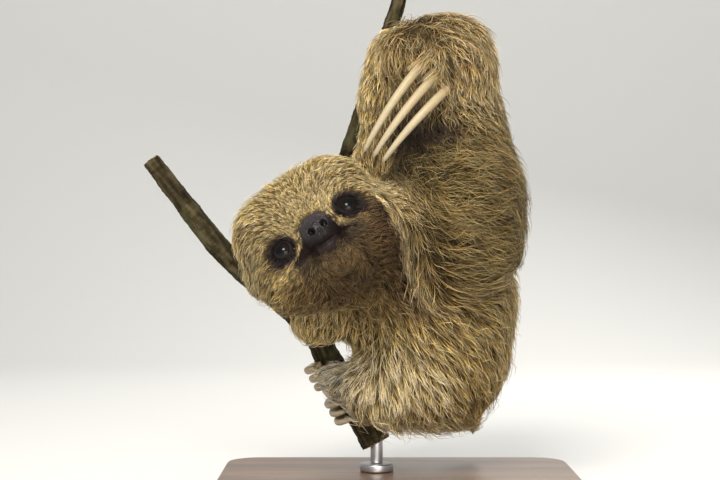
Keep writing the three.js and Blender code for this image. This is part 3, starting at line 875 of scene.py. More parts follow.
def ridge(values, height, line, width):
    """A soft ridge of some height along a line."""
    return height * stroke(values - line, width)


def fade(low, high, values):
    """1 below low and 0 above high."""
    return 1 - smoothstep(low, high, values)


def pad_reach(q):
    """0 at the middle of the nose pad, which is narrower below, and 1 at its edge."""
    share = (q[:, :2] - np.array(NOSE_PAD["middle"])) / np.array(NOSE_PAD["radii"])
    share[:, 0] /= 1 + NOSE_PAD["narrowing"] * np.clip(share[:, 1], -1, NOSE_PAD["narrow_to"])
    power = NOSE_PAD["squareness"]
    return (np.abs(share) ** power).sum(1) ** (1 / power)


def pebbles(q):
    """Fine uneven bumps, from waves that bend one another."""
    x, y = (math.pi / PEBBLE["pitch"] * q[:, i] for i in (0, 1))
    (bend_x, often_x), (bend_y, often_y) = PEBBLE_BENDS
    columns = np.sin(x + bend_x * np.sin(often_x * y))
    return columns * np.sin(y + bend_y * np.sin(often_y * x + PEBBLE_START))


def ragged_pad_reach(q):
    """The reach with a wavering edge, for the line where bare skin and hair meet."""
    broad, narrow = (RAGGED["share"] * pebbles(scale * q) for scale in RAGGED["scales"])
    return pad_reach(q) + broad + narrow


def nostril_distance(q):
    """Distance from the nearer nostril, each a little taller than wide and leaning outwards."""
    out = sideways(q) - NOSTRIL["out"]
    up = q[:, 1] + NOSTRIL["drop"] - NOSTRIL["lean"] * out
    return np.hypot(out, NOSTRIL["tallness"] * up)


def relief(q):
    """Height of the skin over the skull's form."""
    reach, from_nostril, over_mouth = pad_reach(q), nostril_distance(q), above_mouth(q)
    height = NOSE_PAD["height"] * fade(*NOSE_PAD["edge"], reach) + ridge(reach, *PAD_CREASE)
    height += PEBBLE["height"] * pebbles(q) * fade(*PEBBLE["edge"], reach)
    height += ridge(from_nostril, *NOSTRIL_RIM)
    inside = from_nostril / (NOSTRIL_WALL["wider"] * NOSTRIL["radius"])
    height -= NOSTRIL["depth"] * fade(*NOSTRIL_WALL["band"], inside)
    below_pad = smoothstep(*GROOVE_BAND[:2], q[:, 1]) * fade(*GROOVE_BAND[2:], q[:, 1])
    height += ridge(q[:, 0], *LIP_GROOVE) * below_pad
    in_mouth = fade(*MOUTH_DEPTH["corner"], sideways(q) / MOUTH["half_width"])
    lip_share = in_mouth * (1 - LIP_FADE["share"] * smoothstep(*LIP_FADE["band"], sideways(q)))
    height += lip_share * (ridge(over_mouth, *UPPER_LIP) + ridge(over_mouth, *LOWER_LIP))
    cut = MOUTH_DEPTH["least"] + MOUTH_DEPTH["at_lips"] * lip_share
    height += in_mouth * cut * ridge(over_mouth, *MOUTH_CUT)
    height += ridge(over_mouth, *CHIN_CREASE) * lip_share
    return height * smoothstep(*RELIEF_FRONT, q[:, 2])


# %% Lids
LID = {"radius": 6.3, "opening": (4.5, 3.7, 4.2), "ahead": 5.0, "raise": 0.8, "softness": 4.5, "edge": 0.6}
LID_SLANT = math.radians(36)  # the outer corner of each eye is the lower one
EYE_AXIS = (0.30, 0.02, 1.0)


def eye_axis(side):
    """The way an eye looks, in the head's frame."""
    return unit(np.array(EYE_AXIS) * [side, 1, 1])


def slanted(q, middle, side):
    """Places turned about an eye's middle, so that its opening slants down and outwards."""
    x, y = q[:, 0] - middle[0], q[:, 1] - middle[1]
    cosine, sine = math.cos(LID_SLANT), -side * math.sin(LID_SLANT)
    return np.stack([middle[0] + cosine * x + sine * y, middle[1] - sine * x + cosine * y, q[:, 2]], 1)


def skin_form(q):
    """Distance to the skin of the head, with lids and relief."""
    form = head_form(q) + head_depth(q) - relief(q)
    for side in (-1, 1):
        middle = eye_middle(side)
        form = softly(form, ball(q, middle, LID["radius"]), LID["softness"])
        middle += eye_axis(side) * LID["ahead"] + np.array([0, LID["raise"], 0])
        opening = egg(slanted(q, middle, side), middle, LID["opening"])
        form = carved(form, opening, LID["edge"])
    return form


# %% [markdown]
# A mesh becomes that form by settling on it: each vertex steps down the field's slope until it lies on
# the surface. Between the steps it also moves towards its neighbours, which keeps the faces even.
# Displacing along normals would be simpler, but it can't make the overhang of a lid or a nostril.

# %% Settle the face on its form
SETTLE = {"rounds": 5, "step": 1.2, "slope_step": 0.1, "least_slope": 0.3, "evening": 0.35}
FACE_FRONT, FACE_BAND = 2, (1.5, 4.5)
EYE_FRONT, EYE_REACH = 20, 10

q = to_head(coordinates(skin.data))
weight = (q[:, 2] > FACE_FRONT) * fade(*FACE_BAND, np.abs(head_form(q) + head_depth(q)))
weight = np.maximum(weight, (eye_distance(q) < EYE_REACH) & (q[:, 2] > EYE_FRONT))
weight = spread_over(skin.data, weight[:, None].astype(float), rounds=3)
evening = SETTLE["evening"] * weight
for turn in range(SETTLE["rounds"]):
    slope = slope_of(skin_form, q, SETTLE["slope_step"])
    step = slope * (skin_form(q) / np.maximum((slope ** 2).sum(1), SETTLE["least_slope"]))[:, None]
    step *= np.minimum(1, SETTLE["step"] / np.maximum(length_of(step), 1e-9))[:, None]
    q = q - step * weight
    if turn < SETTLE["rounds"] - 1:
        q = q * (1 - evening) + evening * spread_over(skin.data, q, rounds=1)
move_to(skin.data, from_head(q))
misses = np.abs(skin_form(q)[weight[:, 0] > 0.99])
print("face settled, largest miss in mm:", misses.max().round(2))

# %% [markdown]
# ## Markings
# One set of functions says what is bare, what is dark and what tint the hair has, for the skin and for the
# hairs alike. A young three-toed sloth has a pale gold brow, browner cheeks and chin, bare dark skin on the
# nose, lips and lids, and a dark stripe from each eye outwards and down. Some tints are painted light and
# shade: a brighter crown, one brighter side of the brow, shade under the chin and on the cheek beside the
# arm, in the fold at the arm, behind the claws, under the hand, on the lower nose pad and in the nostrils.

# %% Masks of the face
BARE_PAD = (0.9, 1.08)
BARE_RIM = (5.0, 6.2)
BARE_FRONT = 22
BARE_LIPS = {"below": (-5.0, -3.6), "above": (6.0, 8.5), "corner": (22, 25), "waver": 0.5, "scale": 0.6}
LOWER_FADE = {"share": 0.9, "band": (2, 13)}
UPPER_FADE = {"share": 0.85, "band": (8, 15), "right_reach": 1.6}
DARK_RIM = (6.2, 9.0)
STRIPE = {"end": (12.0, -19.0, -7.0), "reach": {-1: 0.68, 1: 1.0}, "width": (3.3, 7.0), "taper": 0.2}
LIP_FUR = {"ridge": (1.0, -1.0, 7.5), "corner": (18, 27), "front": 16}


def bare_places(q):
    """1 where the skin is bare and 0 where hair grows."""
    pad = fade(*BARE_PAD, ragged_pad_reach(q))
    height = above_mouth(q)
    lower = 1 - LOWER_FADE["share"] * smoothstep(*LOWER_FADE["band"], sideways(q))
    reach = np.where(q[:, 0] < 0, UPPER_FADE["right_reach"], 1.0)
    upper = 1 - UPPER_FADE["share"] * smoothstep(*UPPER_FADE["band"], sideways(q) / reach)
    wavering = height / lower + BARE_LIPS["waver"] * pebbles(BARE_LIPS["scale"] * q)
    lips = smoothstep(*BARE_LIPS["below"], wavering) * fade(*BARE_LIPS["above"], height / upper)
    lips *= fade(*BARE_LIPS["corner"], sideways(q))
    lids = fade(*BARE_RIM, eye_distance(q))
    return np.maximum(np.maximum(pad, lips) * (q[:, 2] > BARE_FRONT), lids)


def dark_places(q):
    """1 on the dark rims and stripes of the eyes."""
    dark = fade(*DARK_RIM, eye_distance(q))
    for side in (-1, 1):
        start = eye_middle(side)
        end = start + STRIPE["reach"][side] * np.array(STRIPE["end"]) * [side, 1, 1]
        share, off = beside(q, start, end)
        narrowing = 1 - STRIPE["taper"] * share
        dark = np.maximum(dark, fade(*STRIPE["width"], length_of(off) / narrowing) * narrowing)
    return dark


def lip_fur(q):
    """1 on the short hair next to the lips."""
    near_lips = ridge(above_mouth(q), *LIP_FUR["ridge"]) * fade(*LIP_FUR["corner"], sideways(q))
    return near_lips * (q[:, 2] > LIP_FUR["front"])


# %% Tints
GOLD = {"colour": (0.70, 0.55, 0.27), "share": 0.9, "band": (-22, 10), "rise": 0.15}
# Painted top light: the crown is painted brighter, as if lit from above.
LIT_CROWN = {"colour": (1.08, 0.84, 0.36), "band": (10, 34)}
BROW_SIDE_LIGHT = (0.74, 1.24)  # painted light: the brow is painted darker at its right end and lighter at its left end, next to its middle
BROW_SIDE_LIGHT_BANDS = {"across": (-45, 35), "up": (-20, -6)}
# The cheeks' and chin's own browner fur, also used as painted shade on the lower face and on the cheek beside
# the arm.
CHEEK_BROWN_AND_SHADE = (0.135, 0.078, 0.024)
CHEEK = {"share": 0.9, "down": (24, 42)}
SHADED_CHEEK = {"share": 0.85, "across": (2, 26), "down": (12, 24)}
RUST = (0.20, 0.10, 0.04)
RUSTY = {"crease": (0.7, 0, 14), "eyes": 1.4}
STRIPE_DARK = (0.022, 0.013, 0.013)
STRIPE_SHARE = (2.2, 0.5)
# Painted shade: the hair in the fold between cheek and arm is darkened, as the fold lies in shade.
CREASE_SHADE = {"colour": (0.055, 0.033, 0.016), "ridge": (1.3, 0, 7)}
FRINGE_SHARE = 0.5
LIP_BROWN = {"colour": (0.085, 0.056, 0.027), "share": 1.1}
# Painted shade: the arm's hair behind and between the claws is darkened as if shaded by them.
SHADE_BEHIND_CLAWS = {"colour": (0.055, 0.034, 0.016), "at": (5, -34, 237), "reach": (15, 32, 22), "share": 1.25}
# Painted shade: the forearm's hair under the hand's fringe is darkened as if shaded by it.
SHADE_UNDER_HAND = {"colour": (0.035, 0.020, 0.022), "at": (20, -54, 236), "reach": (10, 14, 5), "share": 1.4}
CLOUDS = {"share": 0.16, "scale": 45}


def toward(colour, other, share):
    """Rows of colour carried part of the way to another colour."""
    return colour + (np.array(other) - colour) * np.clip(share, 0, 1)[:, None]


def tints(points, shares):
    """The tint of the hair at each point, with painted light and shade in it."""
    colour = planned(shares, "tint")
    q = to_head(points)
    head = share_of(shares, HEAD_PARTS + ["left_ear", "right_ear"])
    brow = smoothstep(*GOLD["band"], q[:, 1] + GOLD["rise"] * sideways(q))
    colour = toward(colour, GOLD["colour"], GOLD["share"] * head * brow)
    # painted top light on the crown
    colour = toward(colour, LIT_CROWN["colour"], head * smoothstep(*LIT_CROWN["band"], q[:, 1]))
    # painted light: one side of the upper head is painted brighter and the other darker
    side_lit = BROW_SIDE_LIGHT[0] + (BROW_SIDE_LIGHT[1] - BROW_SIDE_LIGHT[0]) * smoothstep(*BROW_SIDE_LIGHT_BANDS["across"], q[:, 0])
    colour *= (1 + (side_lit - 1) * head * smoothstep(*BROW_SIDE_LIGHT_BANDS["up"], q[:, 1]))[:, None]
    # browner towards the chin: partly the fur's own brown, partly painted shade under the head
    colour = toward(colour, CHEEK_BROWN_AND_SHADE, head * smoothstep(*CHEEK["down"], -q[:, 1]) * CHEEK["share"])
    shaded = smoothstep(*SHADED_CHEEK["across"], q[:, 0]) * smoothstep(*SHADED_CHEEK["down"], -q[:, 1])
    colour = toward(colour, CHEEK_BROWN_AND_SHADE, head * shaded * SHADED_CHEEK["share"])
    off, fringe = at_crease(points)
    colour = toward(colour, RUST, ridge(off, *RUSTY["crease"]) * (1 - fringe))
    # painted shade in the fold between cheek and arm
    colour = toward(colour, CREASE_SHADE["colour"], ridge(off, *CREASE_SHADE["ridge"]))
    colour = toward(colour, PALE, FRINGE_SHARE * fringe)
    # painted shade behind the claws and under the hand's fringe
    for patch in (SHADE_BEHIND_CLAWS, SHADE_UNDER_HAND):
        away = length_of((points / MM - np.array(patch["at"])) / np.array(patch["reach"]))
        colour = toward(colour, patch["colour"], patch["share"] * stroke(away, 1.0))
    colour = toward(colour, LIP_BROWN["colour"], LIP_BROWN["share"] * head * lip_fur(q))
    dark = head * dark_places(q)
    colour = toward(colour, RUST, RUSTY["eyes"] * dark)
    colour = toward(colour, STRIPE_DARK, STRIPE_SHARE[0] * dark - STRIPE_SHARE[1])
    cloud = np.array([noise.noise(Vector(p) * CLOUDS["scale"]) for p in points])
    return colour * (1 + CLOUDS["share"] * cloud)[:, None]


# %% Bare skin
LEATHER = np.array([0.029, 0.022, 0.027])
# Painted shade: the lower half of the nose pad is painted near black.
LEATHER_IN_SHADE = np.array([0.008, 0.006, 0.006])
LIP_DARK = np.array([0.009, 0.0045, 0.0045])
LIP_GREY = {"colour": (0.018, 0.0105, 0.0105), "ridge": (1.0, -2.8, 1.7), "corner": (6, 13)}
LIP_PATCHES = {"mean": 0.8, "share": 0.6, "scale": 0.7}
LID_DARK = {"colour": (0.007, 0.0035, 0.0035), "band": (7, 9)}
# Where the pad's painted shade begins and ends, and where the pad's colour ends.
PAD_COLOURS_AND_SHADE = {"up": (-22, -8), "waver": 0.3, "scale": 0.25, "edge": (0.95, 1.15)}
MOTTLE = 0.3  # how much the nose pad's pebbles differ in colour
# Painted shade: the inside of each nostril is painted near black.
NOSTRIL_SHADE = {"share": 0.15, "band": (0.5, 1.1)}


def leather_tints(q):
    """The colour of the bare skin."""
    colour = np.broadcast_to(LIP_DARK, q.shape).copy()
    # painted shade: the pad darkens from its top down to its lower half
    high = smoothstep(*PAD_COLOURS_AND_SHADE["up"], q[:, 1] + PAD_COLOURS_AND_SHADE["waver"] * pebbles(PAD_COLOURS_AND_SHADE["scale"] * q))
    pad = LEATHER_IN_SHADE + (LEATHER - LEATHER_IN_SHADE) * high[:, None]
    pad *= (1 + MOTTLE * pebbles(q))[:, None]
    colour = toward(colour, pad, fade(*PAD_COLOURS_AND_SHADE["edge"], ragged_pad_reach(q)))
    patches = LIP_PATCHES["mean"] + LIP_PATCHES["share"] * pebbles(LIP_PATCHES["scale"] * q)
    lower_lip = ridge(above_mouth(q), *LIP_GREY["ridge"]) * fade(*LIP_GREY["corner"], sideways(q))
    colour = toward(colour, LIP_GREY["colour"], lower_lip * patches)
    colour = toward(colour, LID_DARK["colour"], fade(*LID_DARK["band"], eye_distance(q)))
    # painted shade inside the nostrils
    inside = fade(*NOSTRIL_SHADE["band"], nostril_distance(q) / NOSTRIL["radius"])
    return toward(colour, LIP_DARK * NOSTRIL_SHADE["share"], inside)


# %% Write the markings on the skin
UNDERCOAT = 0.12  # how bright the skin is under the coat, next to the hair
MOIST_PAD = {"edge": (0.8, 1.1), "front": 22, "least": 0.35, "up": (-24, -12)}
MOIST_LIPS = {"ridge": (0.22, -2.5, 3.0), "front": 26}
MOISTURE = 0.7


def with_alpha(colours):
    """Rows of red, green and blue with a one added."""
    return np.concatenate([colours, np.ones((len(colours), 1))], 1)


skin_points = coordinates(skin.data)
skin_q = to_head(skin_points)
part_shares = spread_over(skin.data, shares_of_parts(skin_points), SHARE_SPREADS)
bare = bare_places(skin_q)
skin_tints = tints(skin_points, part_shares)
skin_colours = toward(skin_tints * UNDERCOAT, leather_tints(skin_q), bare)
moist = fade(*MOIST_PAD["edge"], pad_reach(skin_q)) * (skin_q[:, 2] > MOIST_PAD["front"])
moist *= MOIST_PAD["least"] + (1 - MOIST_PAD["least"]) * smoothstep(*MOIST_PAD["up"], skin_q[:, 1])
moist_lips = ridge(above_mouth(skin_q), *MOIST_LIPS["ridge"]) * bare * (skin_q[:, 2] > MOIST_LIPS["front"])
write_attribute(skin.data, "Colour", "FLOAT_COLOR", with_alpha(skin_colours))
write_attribute(skin.data, "Bare", "FLOAT", bare)
write_attribute(skin.data, "Moist", "FLOAT", MOISTURE * np.maximum(moist, moist_lips))
print("bare share of the skin's vertices:", (bare > 0.5).mean().round(3))

# %% [markdown]
# ## Skin material
# Under the coat the skin is dull and dark. Where it is bare it is leather: fine pebbles from a
# Voronoi texture and a noise. The nose is moist, and the lips are a little: a thin clear coat, which
# a mask puts only there, gives them their shine, while the lids stay dull and black.

# %% Skin material
skin_base = attribute(bare_tree, "Colour", "Color")
skin_colour, skin_grain = speckled(bare_tree, skin_base, grain=900.0, depth=0.9)
cells = put(bare_tree, "ShaderNodeTexVoronoi", Vector=object_place(bare_tree), Scale=1150.0)
skin_height = math_node(bare_tree, "ADD", times(bare_tree, cells.outputs["Distance"], 0.7), skin_grain)
dress(bare_tree, {
    "Base Color": skin_colour,
    "Roughness": ranged(bare_tree, attribute(bare_tree, "Bare"), to=(0.85, 0.5)),
    "Normal": bumped(bare_tree, skin_height, strength=0.5, depth_mm=0.4),
    "Specular IOR Level": 0.08,
    "Coat Weight": attribute(bare_tree, "Moist"),
    "Coat Roughness": 0.3,
    "Coat IOR": 1.5,
})
skin.data.polygons.foreach_set("use_smooth", [True] * len(skin.data.polygons))
on_frame(skin, "face_skin", *FLESH)
print("skin replaces", len(FLESH), "nodes")

# %% [markdown]
# ## Eyes
# An eye is a ball whose front bulges a little: the cornea. It is dark all over in a sloth, a nearly
# black brown iris round a black pupil. What makes it read as wet is a smooth clear coat that mirrors
# the lights, so its roughness is close to nothing. Its weight stays under a half, because a pale room
# in a strong coat turns a black eye grey.

# %% Eye material
eye_material, eye_tree = new_material("wet_eye")
eye_colours = ramp(eye_tree, attribute(eye_tree, "Iris"), [
    (0.0, rgb(0.010, 0.005, 0.004)),
    (0.30, rgb(0.004, 0.002, 0.002)),
    (0.42, rgb(0.010, 0.006, 0.003)),
    (0.70, rgb(0.006, 0.004, 0.003)),
    (0.80, rgb(0.001, 0.001, 0.001)),
])
streaks = noise_at(eye_tree, object_place(eye_tree), scale=900.0, detail=2.0)
dress(eye_tree, {
    "Base Color": tinted(eye_tree, eye_colours, mask=streaks, share=0.5, colour=rgb(0.004, 0.003, 0.003)),
    "Roughness": 0.5,
    "Specular IOR Level": 0.05,
    "Coat Weight": 0.45,
    "Coat Roughness": 0.03,
    "Coat IOR": 1.38,
})

# %% Eyeballs
CORNEA_BULGE = 0.02
IRIS_FROM = 0.55  # the cosine of the angle off the eye's axis at which the iris and the cornea begin
BALL_RADIUS = 6.4 * MM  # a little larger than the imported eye, and set back behind the same front
EYE_SEGMENTS = 40

for side, name in ((1, "left_eye"), (-1, "right_eye")):
    low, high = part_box(name)
    middle = (low + high) / 2
    axis = Vector((head_turn @ eye_axis(side)).tolist())
    eye = bmesh.new()
    bmesh.ops.create_uvsphere(
        eye, u_segments=EYE_SEGMENTS, v_segments=EYE_SEGMENTS // 2, radius=BALL_RADIUS,
        matrix=axis.to_track_quat("Z", "Y").to_matrix().to_4x4(),
    )
    iris = eye.verts.layers.float.new("Iris")
    for vert in eye.verts:
        front_share = vert.co.normalized().dot(axis)
        vert[iris] = max(0.0, (front_share - IRIS_FROM) / (1 - IRIS_FROM))
        vert.co *= 1 + CORNEA_BULGE * float(smoothstep(IRIS_FROM, 1.0, front_share))
    bmesh.ops.translate(eye, verts=eye.verts, vec=middle - axis * (BALL_RADIUS - EYE["radius"] * MM))
    eyeball = finished(name + "ball", eye, eye_material)
    on_frame(eyeball, "eye", name)
    print(eyeball.name, "at", [round(v, 4) for v in middle])

# %% [markdown]
# ## Claws
# A claw is a long horn sheath: round at the root, a little flat, curved along its length and blunt.
# It is a circle swept along a curve. Each step extrudes the ring's edges and transforms the new ring
# to the next station, and the tip closes in a few short steps. Every vertex keeps how far along and
# how far round it is, and the horn's lengthwise streaks follow those numbers.

# %% Sweep
CLAW_SIDES = 18
FLATNESS = 0.85


def station(centre_at, radius_at, t, across):
    """The matrix that carries the unit circle to its place along a curve."""
    tangent = (centre_at(min(t + 0.001, 1.0)) - centre_at(max(t - 0.001, 0.0))).normalized()
    aside = tangent.cross(across).normalized()
    up = aside.cross(tangent)
    radius = radius_at(t)
    columns = (aside * radius * FLATNESS, up * radius, tangent * radius)
    return Matrix.Translation(centre_at(t)) @ Matrix(columns).transposed().to_4x4()


def swept(name, centre_at, radius_at, stations, across, material):
    """A closed rod along a curve, with the attribute Grain: along, and round as cosine and sine."""
    rod = bmesh.new()
    grain = rod.verts.layers.float_vector.new("Grain")
    ring = bmesh.ops.create_circle(rod, cap_ends=True, segments=CLAW_SIDES, radius=1)["verts"]
    edges = list(rod.edges)
    place = Matrix.Identity(4)
    for number, t in enumerate(stations):
        if number:
            grown = bmesh.ops.extrude_edge_only(rod, edges=edges)["geom"]
            ring = all_of(bmesh.types.BMVert, grown)
            fresh = set(ring)
            edges = [e for e in all_of(bmesh.types.BMEdge, grown) if set(e.verts) <= fresh]
        following = station(centre_at, radius_at, t, across)
        bmesh.ops.transform(rod, matrix=following @ place.inverted(), verts=ring)
        place = following
        back = place.inverted()
        for vert in ring:
            local = back @ vert.co
            vert[grain] = (t, local.x, local.y)
    bmesh.ops.edgeloop_fill(rod, edges=edges)
    bmesh.ops.recalc_face_normals(rod, faces=rod.faces)
    return finished(name, rod, material)


# %% [markdown]
# Horn grows forward from the root, so its colour changes along the claw: brownish in the hair and paler
# further out. Fibres run lengthwise, and old stains lie over them.

# %% Horn material
horn, horn_tree = new_material("claw_horn")
grain = attribute(horn_tree, "Grain", "Vector")
along = put(horn_tree, "ShaderNodeSeparateXYZ", i0=grain).outputs[0]
horn_base = ramp(horn_tree, along, [
    (0.0, rgb(0.24, 0.165, 0.085)),
    (0.3, rgb(0.40, 0.325, 0.19)),
    (0.75, rgb(0.48, 0.415, 0.285)),
    (1.0, rgb(0.50, 0.43, 0.30)),
])
fibres = noise_at(horn_tree, grain, scale=5.0, detail=4.0, roughness=0.6, stretch=(0.35, 3.2, 3.2))
streaks = ranged(horn_tree, fibres, low=0.42, high=0.66)
fibred = tinted(horn_tree, horn_base, mask=streaks, share=0.7, colour=rgb(0.28, 0.19, 0.075))
stain = noise_at(horn_tree, object_place(horn_tree), scale=120.0, detail=2.0)
stains = ranged(horn_tree, stain, low=0.56, high=0.74)
stained = tinted(horn_tree, fibred, mask=stains, share=0.3, colour=rgb(0.36, 0.20, 0.07))
horn_colour, horn_grain = speckled(horn_tree, stained, grain=700.0, depth=0.35)
horn_height = math_node(horn_tree, "ADD", fibres, times(horn_tree, horn_grain, 0.3))
dress(horn_tree, {
    "Base Color": horn_colour,
    "Normal": bumped(horn_tree, horn_height, strength=0.35, depth_mm=0.4),
    "Roughness": 0.42,
    "Subsurface Weight": 0.12,
    "Subsurface Scale": 0.002,
})

# %% Claw curves
HAND_CLAW, FOOT_CLAW, CLAW_TIP = 3.35 * MM, 2.65 * MM, 1.45 * MM
ROUND_FROM = 0.93
SHAFT_STEPS = 22
TIP_STATIONS = [0.945, 0.96, 0.972, 0.982, 0.99, 0.996, 0.9995]
CLAW_STATIONS = [ROUND_FROM * i / SHAFT_STEPS for i in range(SHAFT_STEPS + 1)] + TIP_STATIONS
LEAST_TIP = 0.0004

claw_curves = {}


def millimetres(*point):
    """A point given in millimetres."""
    return Vector(point) * MM


def claw_radius(root):
    """Thick at the root, thin and round at the tip."""
    def radius_at(t):
        past = max(t - ROUND_FROM, 0) / (1 - ROUND_FROM)
        return (root + (CLAW_TIP - root) * t ** 2) * math.sqrt(max(1 - past ** 2, LEAST_TIP))
    return radius_at


def horn_claw(name, centre_at, radius, across):
    """Sweeps a claw and remembers its curve, which the hair at its root follows later."""
    claw_curves[name] = centre_at, radius, across
    return swept(name, centre_at, claw_radius(radius), CLAW_STATIONS, across, horn)


def bowed_claw(name, root, tip, bow, radius):
    """A claw that bows gently from root to tip."""
    handle = (root + tip) / 2 + 2 * bow

    def centre_at(t):
        return root * (1 - t) ** 2 + handle * 2 * t * (1 - t) + tip * t ** 2

    return horn_claw(name, centre_at, radius, bow.normalized())


def arc_claw(name, centre, to_root, to_side, bend, angles, radius):
    """A claw that curls round in an arc, from the first angle to the second."""
    u = Vector(to_root).normalized()
    v = (Vector(to_side) - u * Vector(to_side).dot(u)).normalized()

    def centre_at(t):
        angle = math.radians(angles[0] + (angles[1] - angles[0]) * t)
        return centre + (u * math.cos(angle) + v * math.sin(angle)) * bend * MM

    return horn_claw(name, centre_at, radius, u.cross(v))


# %% All claws
for number in (1, 2, 3):
    i = number - 2  # the middle claw has 0, and its neighbours lie to both sides of it
    made = {
        "left_hand": bowed_claw(
            f"left_hand_horn_{number}", millimetres(29 + 8.2 * i, -57 + i, 271 - 8 * i),
            millimetres(-17 + 5.5 * i, -62 - i, 213 - 3 * i), millimetres(-3.5, -13, -1), HAND_CLAW,
        ),
        "right_hand": arc_claw(
            f"right_hand_horn_{number}", millimetres(-13 + 2.6 * i, 10 - 0.9 * i, 268 + 7.6 * i),
            (11, -20, 0), (20, 11, -2), 15, (8, 196), HAND_CLAW,
        ),
        "left_foot": arc_claw(
            f"left_foot_horn_{number}", millimetres(-43 - 3.2 * i, 27.5 + 0.6 * i, 80 + 5.4 * i),
            (-4, -13, -2), (-12, 4, -6), 14.5, (-4, 168), FOOT_CLAW,
        ),
        "right_foot": arc_claw(
            f"right_foot_horn_{number}", millimetres(-29.5 - 3.2 * i, 28.5 + 0.4 * i, 58 + 5.4 * i),
            (-4, 18, 0), (-13, -4, -7), 15, (4, 148), FOOT_CLAW,
        ),
    }
    for where, piece in made.items():
        on_frame(piece, "claw_horn", f"{where}_claw_{number}")
print("claws:", len(claw_curves))

# %% [markdown]
# ## The coat
# Particle hair would be the usual way, but it can't be exported, so the coat is solid mesh: each hair,
# or thin tuft, is a three-sided spike that tapers to its tip. There are tens of thousands of them, and
# they are worked out together as arrays: roots are strewn over the skin, every hair walks over the
# skin along the comb direction in a few steps while it rises, and neighbours lean together in locks.

# %% The skin as arrays
SEED = 20
rng = np.random.default_rng(SEED)

skin.data.calc_loop_triangles()
triangles = rows_of(skin.data.loop_triangles, "vertices", 3, np.int32)
corners = rows_of(skin.data.loop_triangles, "loops", 3, np.int32)
corner_uv = rows_of(skin.data.uv_layers[MAP_NAME].data, "uv", 2)
skin_normals = rows_of(skin.data.vertices, "normal", 3).astype(float)
skin_normals = unit(spread_over(skin.data, skin_normals, rounds=6))
edge_one, edge_two = (skin_points[triangles[:, i]] - skin_points[triangles[:, 0]] for i in (1, 2))
areas = length_of(np.cross(edge_one, edge_two)) / 2 / MM ** 2
print("skin:", len(triangles), "triangles,", round(areas.sum() / 100), "square centimetres")

# %% [markdown]
# The plan's table has one row a part, and a vertex near a joint has a share in several parts. So each
# measure is blended by those shares, and the coat changes softly from part to part. The face has its
# own rule: hair is shortest at the nose and grows longer with the distance from it.

# %% The plan at every vertex
BELLY_TOP = 75 * MM  # under this height the hair of the underside hangs lower
BELLY_HANG = 0.5
UNDERSIDE = (0.3, 0.9)
CHIN = {"down": (26, 44), "back": (34, 60), "longer": 2.5, "jitter": 14}  # mm and degrees
FACE_LENGTH = {"least": 3.2, "more": 13.5, "band": (10, 66)}
FACE_WIDTH = {"least": 0.22, "more": 0.14, "band": (10, 60)}
FRINGE_LENGTH = {"more": 7, "longest": 25}


def face_plan(plan):
    """A measure of the face's hair, which grows with the distance from the nose."""
    return plan["least"] + plan["more"] * smoothstep(*plan["band"], nose_gap)


def with_face(body, face):
    """A measure of the coat with the head's own values over the body's."""
    return body * (1 - head_part) + face * head_part


head_part = share_of(part_shares, HEAD_PARTS)
nose_gap = face_distance(skin_q)
under_chin = smoothstep(*CHIN["down"], -skin_q[:, 1]) * smoothstep(*CHIN["back"], nose_gap)
face_length = face_plan(FACE_LENGTH) + CHIN["longer"] * under_chin
hair_length = with_face(planned(part_shares, "length"), face_length)
hair_depth = with_face(planned(part_shares, "depth"), head_depth(skin_q))
hair_width = with_face(planned(part_shares, "width"), face_plan(FACE_WIDTH))
hair_clump = planned(part_shares, "clump")
hair_wave = planned(part_shares, "wave")
hair_jitter = np.radians(planned(part_shares, "jitter") + CHIN["jitter"] * under_chin * head_part)
underside = smoothstep(*UNDERSIDE, -skin_normals[:, 2]) * (skin_points[:, 2] < BELLY_TOP)
hair_depth *= 1 + BELLY_HANG * underside
_, at_fringe = at_crease(skin_points)
hair_length += FRINGE_LENGTH["more"] * at_fringe * (1 - hair_length / FRINGE_LENGTH["longest"])

comb = sum(
    part_shares[:, number, None] * unit(COATS[name]["comb"](skin_points)) for number, name in enumerate(FLESH)
)
comb += (HANGING - comb) * at_fringe[:, None]
comb -= skin_normals * (comb * skin_normals).sum(1)[:, None]
comb = unit(spread_over(skin.data, unit(comb), rounds=10))
print("hair length, mm:", hair_length.min().round(1), "to", hair_length.max().round(1))

# %% Ground that the hairs walk on
ground = BVHTree.FromPolygons(skin_points.tolist(), triangles.tolist())
ground_normal = unit(skin_normals[triangles].mean(1))
ground_comb = unit(comb[triangles].mean(1))


def onto_skin(points):
    """The nearest point of the skin and its triangle, for each point."""
    feet = np.zeros_like(points)
    on = np.zeros(len(points), np.int64)
    for row, point in enumerate(points):
        feet[row], _, on[row], _ = ground.find_nearest(point)
    return feet, on


# %% [markdown]
# Long wide hairs hide more skin than short thin ones, so fewer of them are needed. The density of the
# roots follows from that: it is the wished number of layers, divided by the area that one hair covers.

# %% Strew the roots
LAYERS = 4.3
HEAD_LAYERS = 3.7
MAX_BARE = 0.45
TINT_SPREAD = 0.03
FRINGE_PLACE = {"up": (250 * MM, 272 * MM), "front": -50 * MM}  # the hand's lower edge, at the front

layers = LAYERS + (HEAD_LAYERS - LAYERS) * head_part
density = layers / (hair_length * hair_width) * (bare < MAX_BARE)
chance = areas * density[triangles].mean(1)
root_count = int(chance.sum())
root_on = rng.choice(len(triangles), root_count, p=chance / chance.sum())
spread = np.sqrt(rng.random(root_count))
slide = rng.random(root_count)
weights = np.stack([1 - spread, spread * (1 - slide), spread * slide], 1)


def at_roots(values):
    """Values of the vertices, taken at the roots."""
    return (values[triangles[root_on]] * weights[..., None]).sum(1)


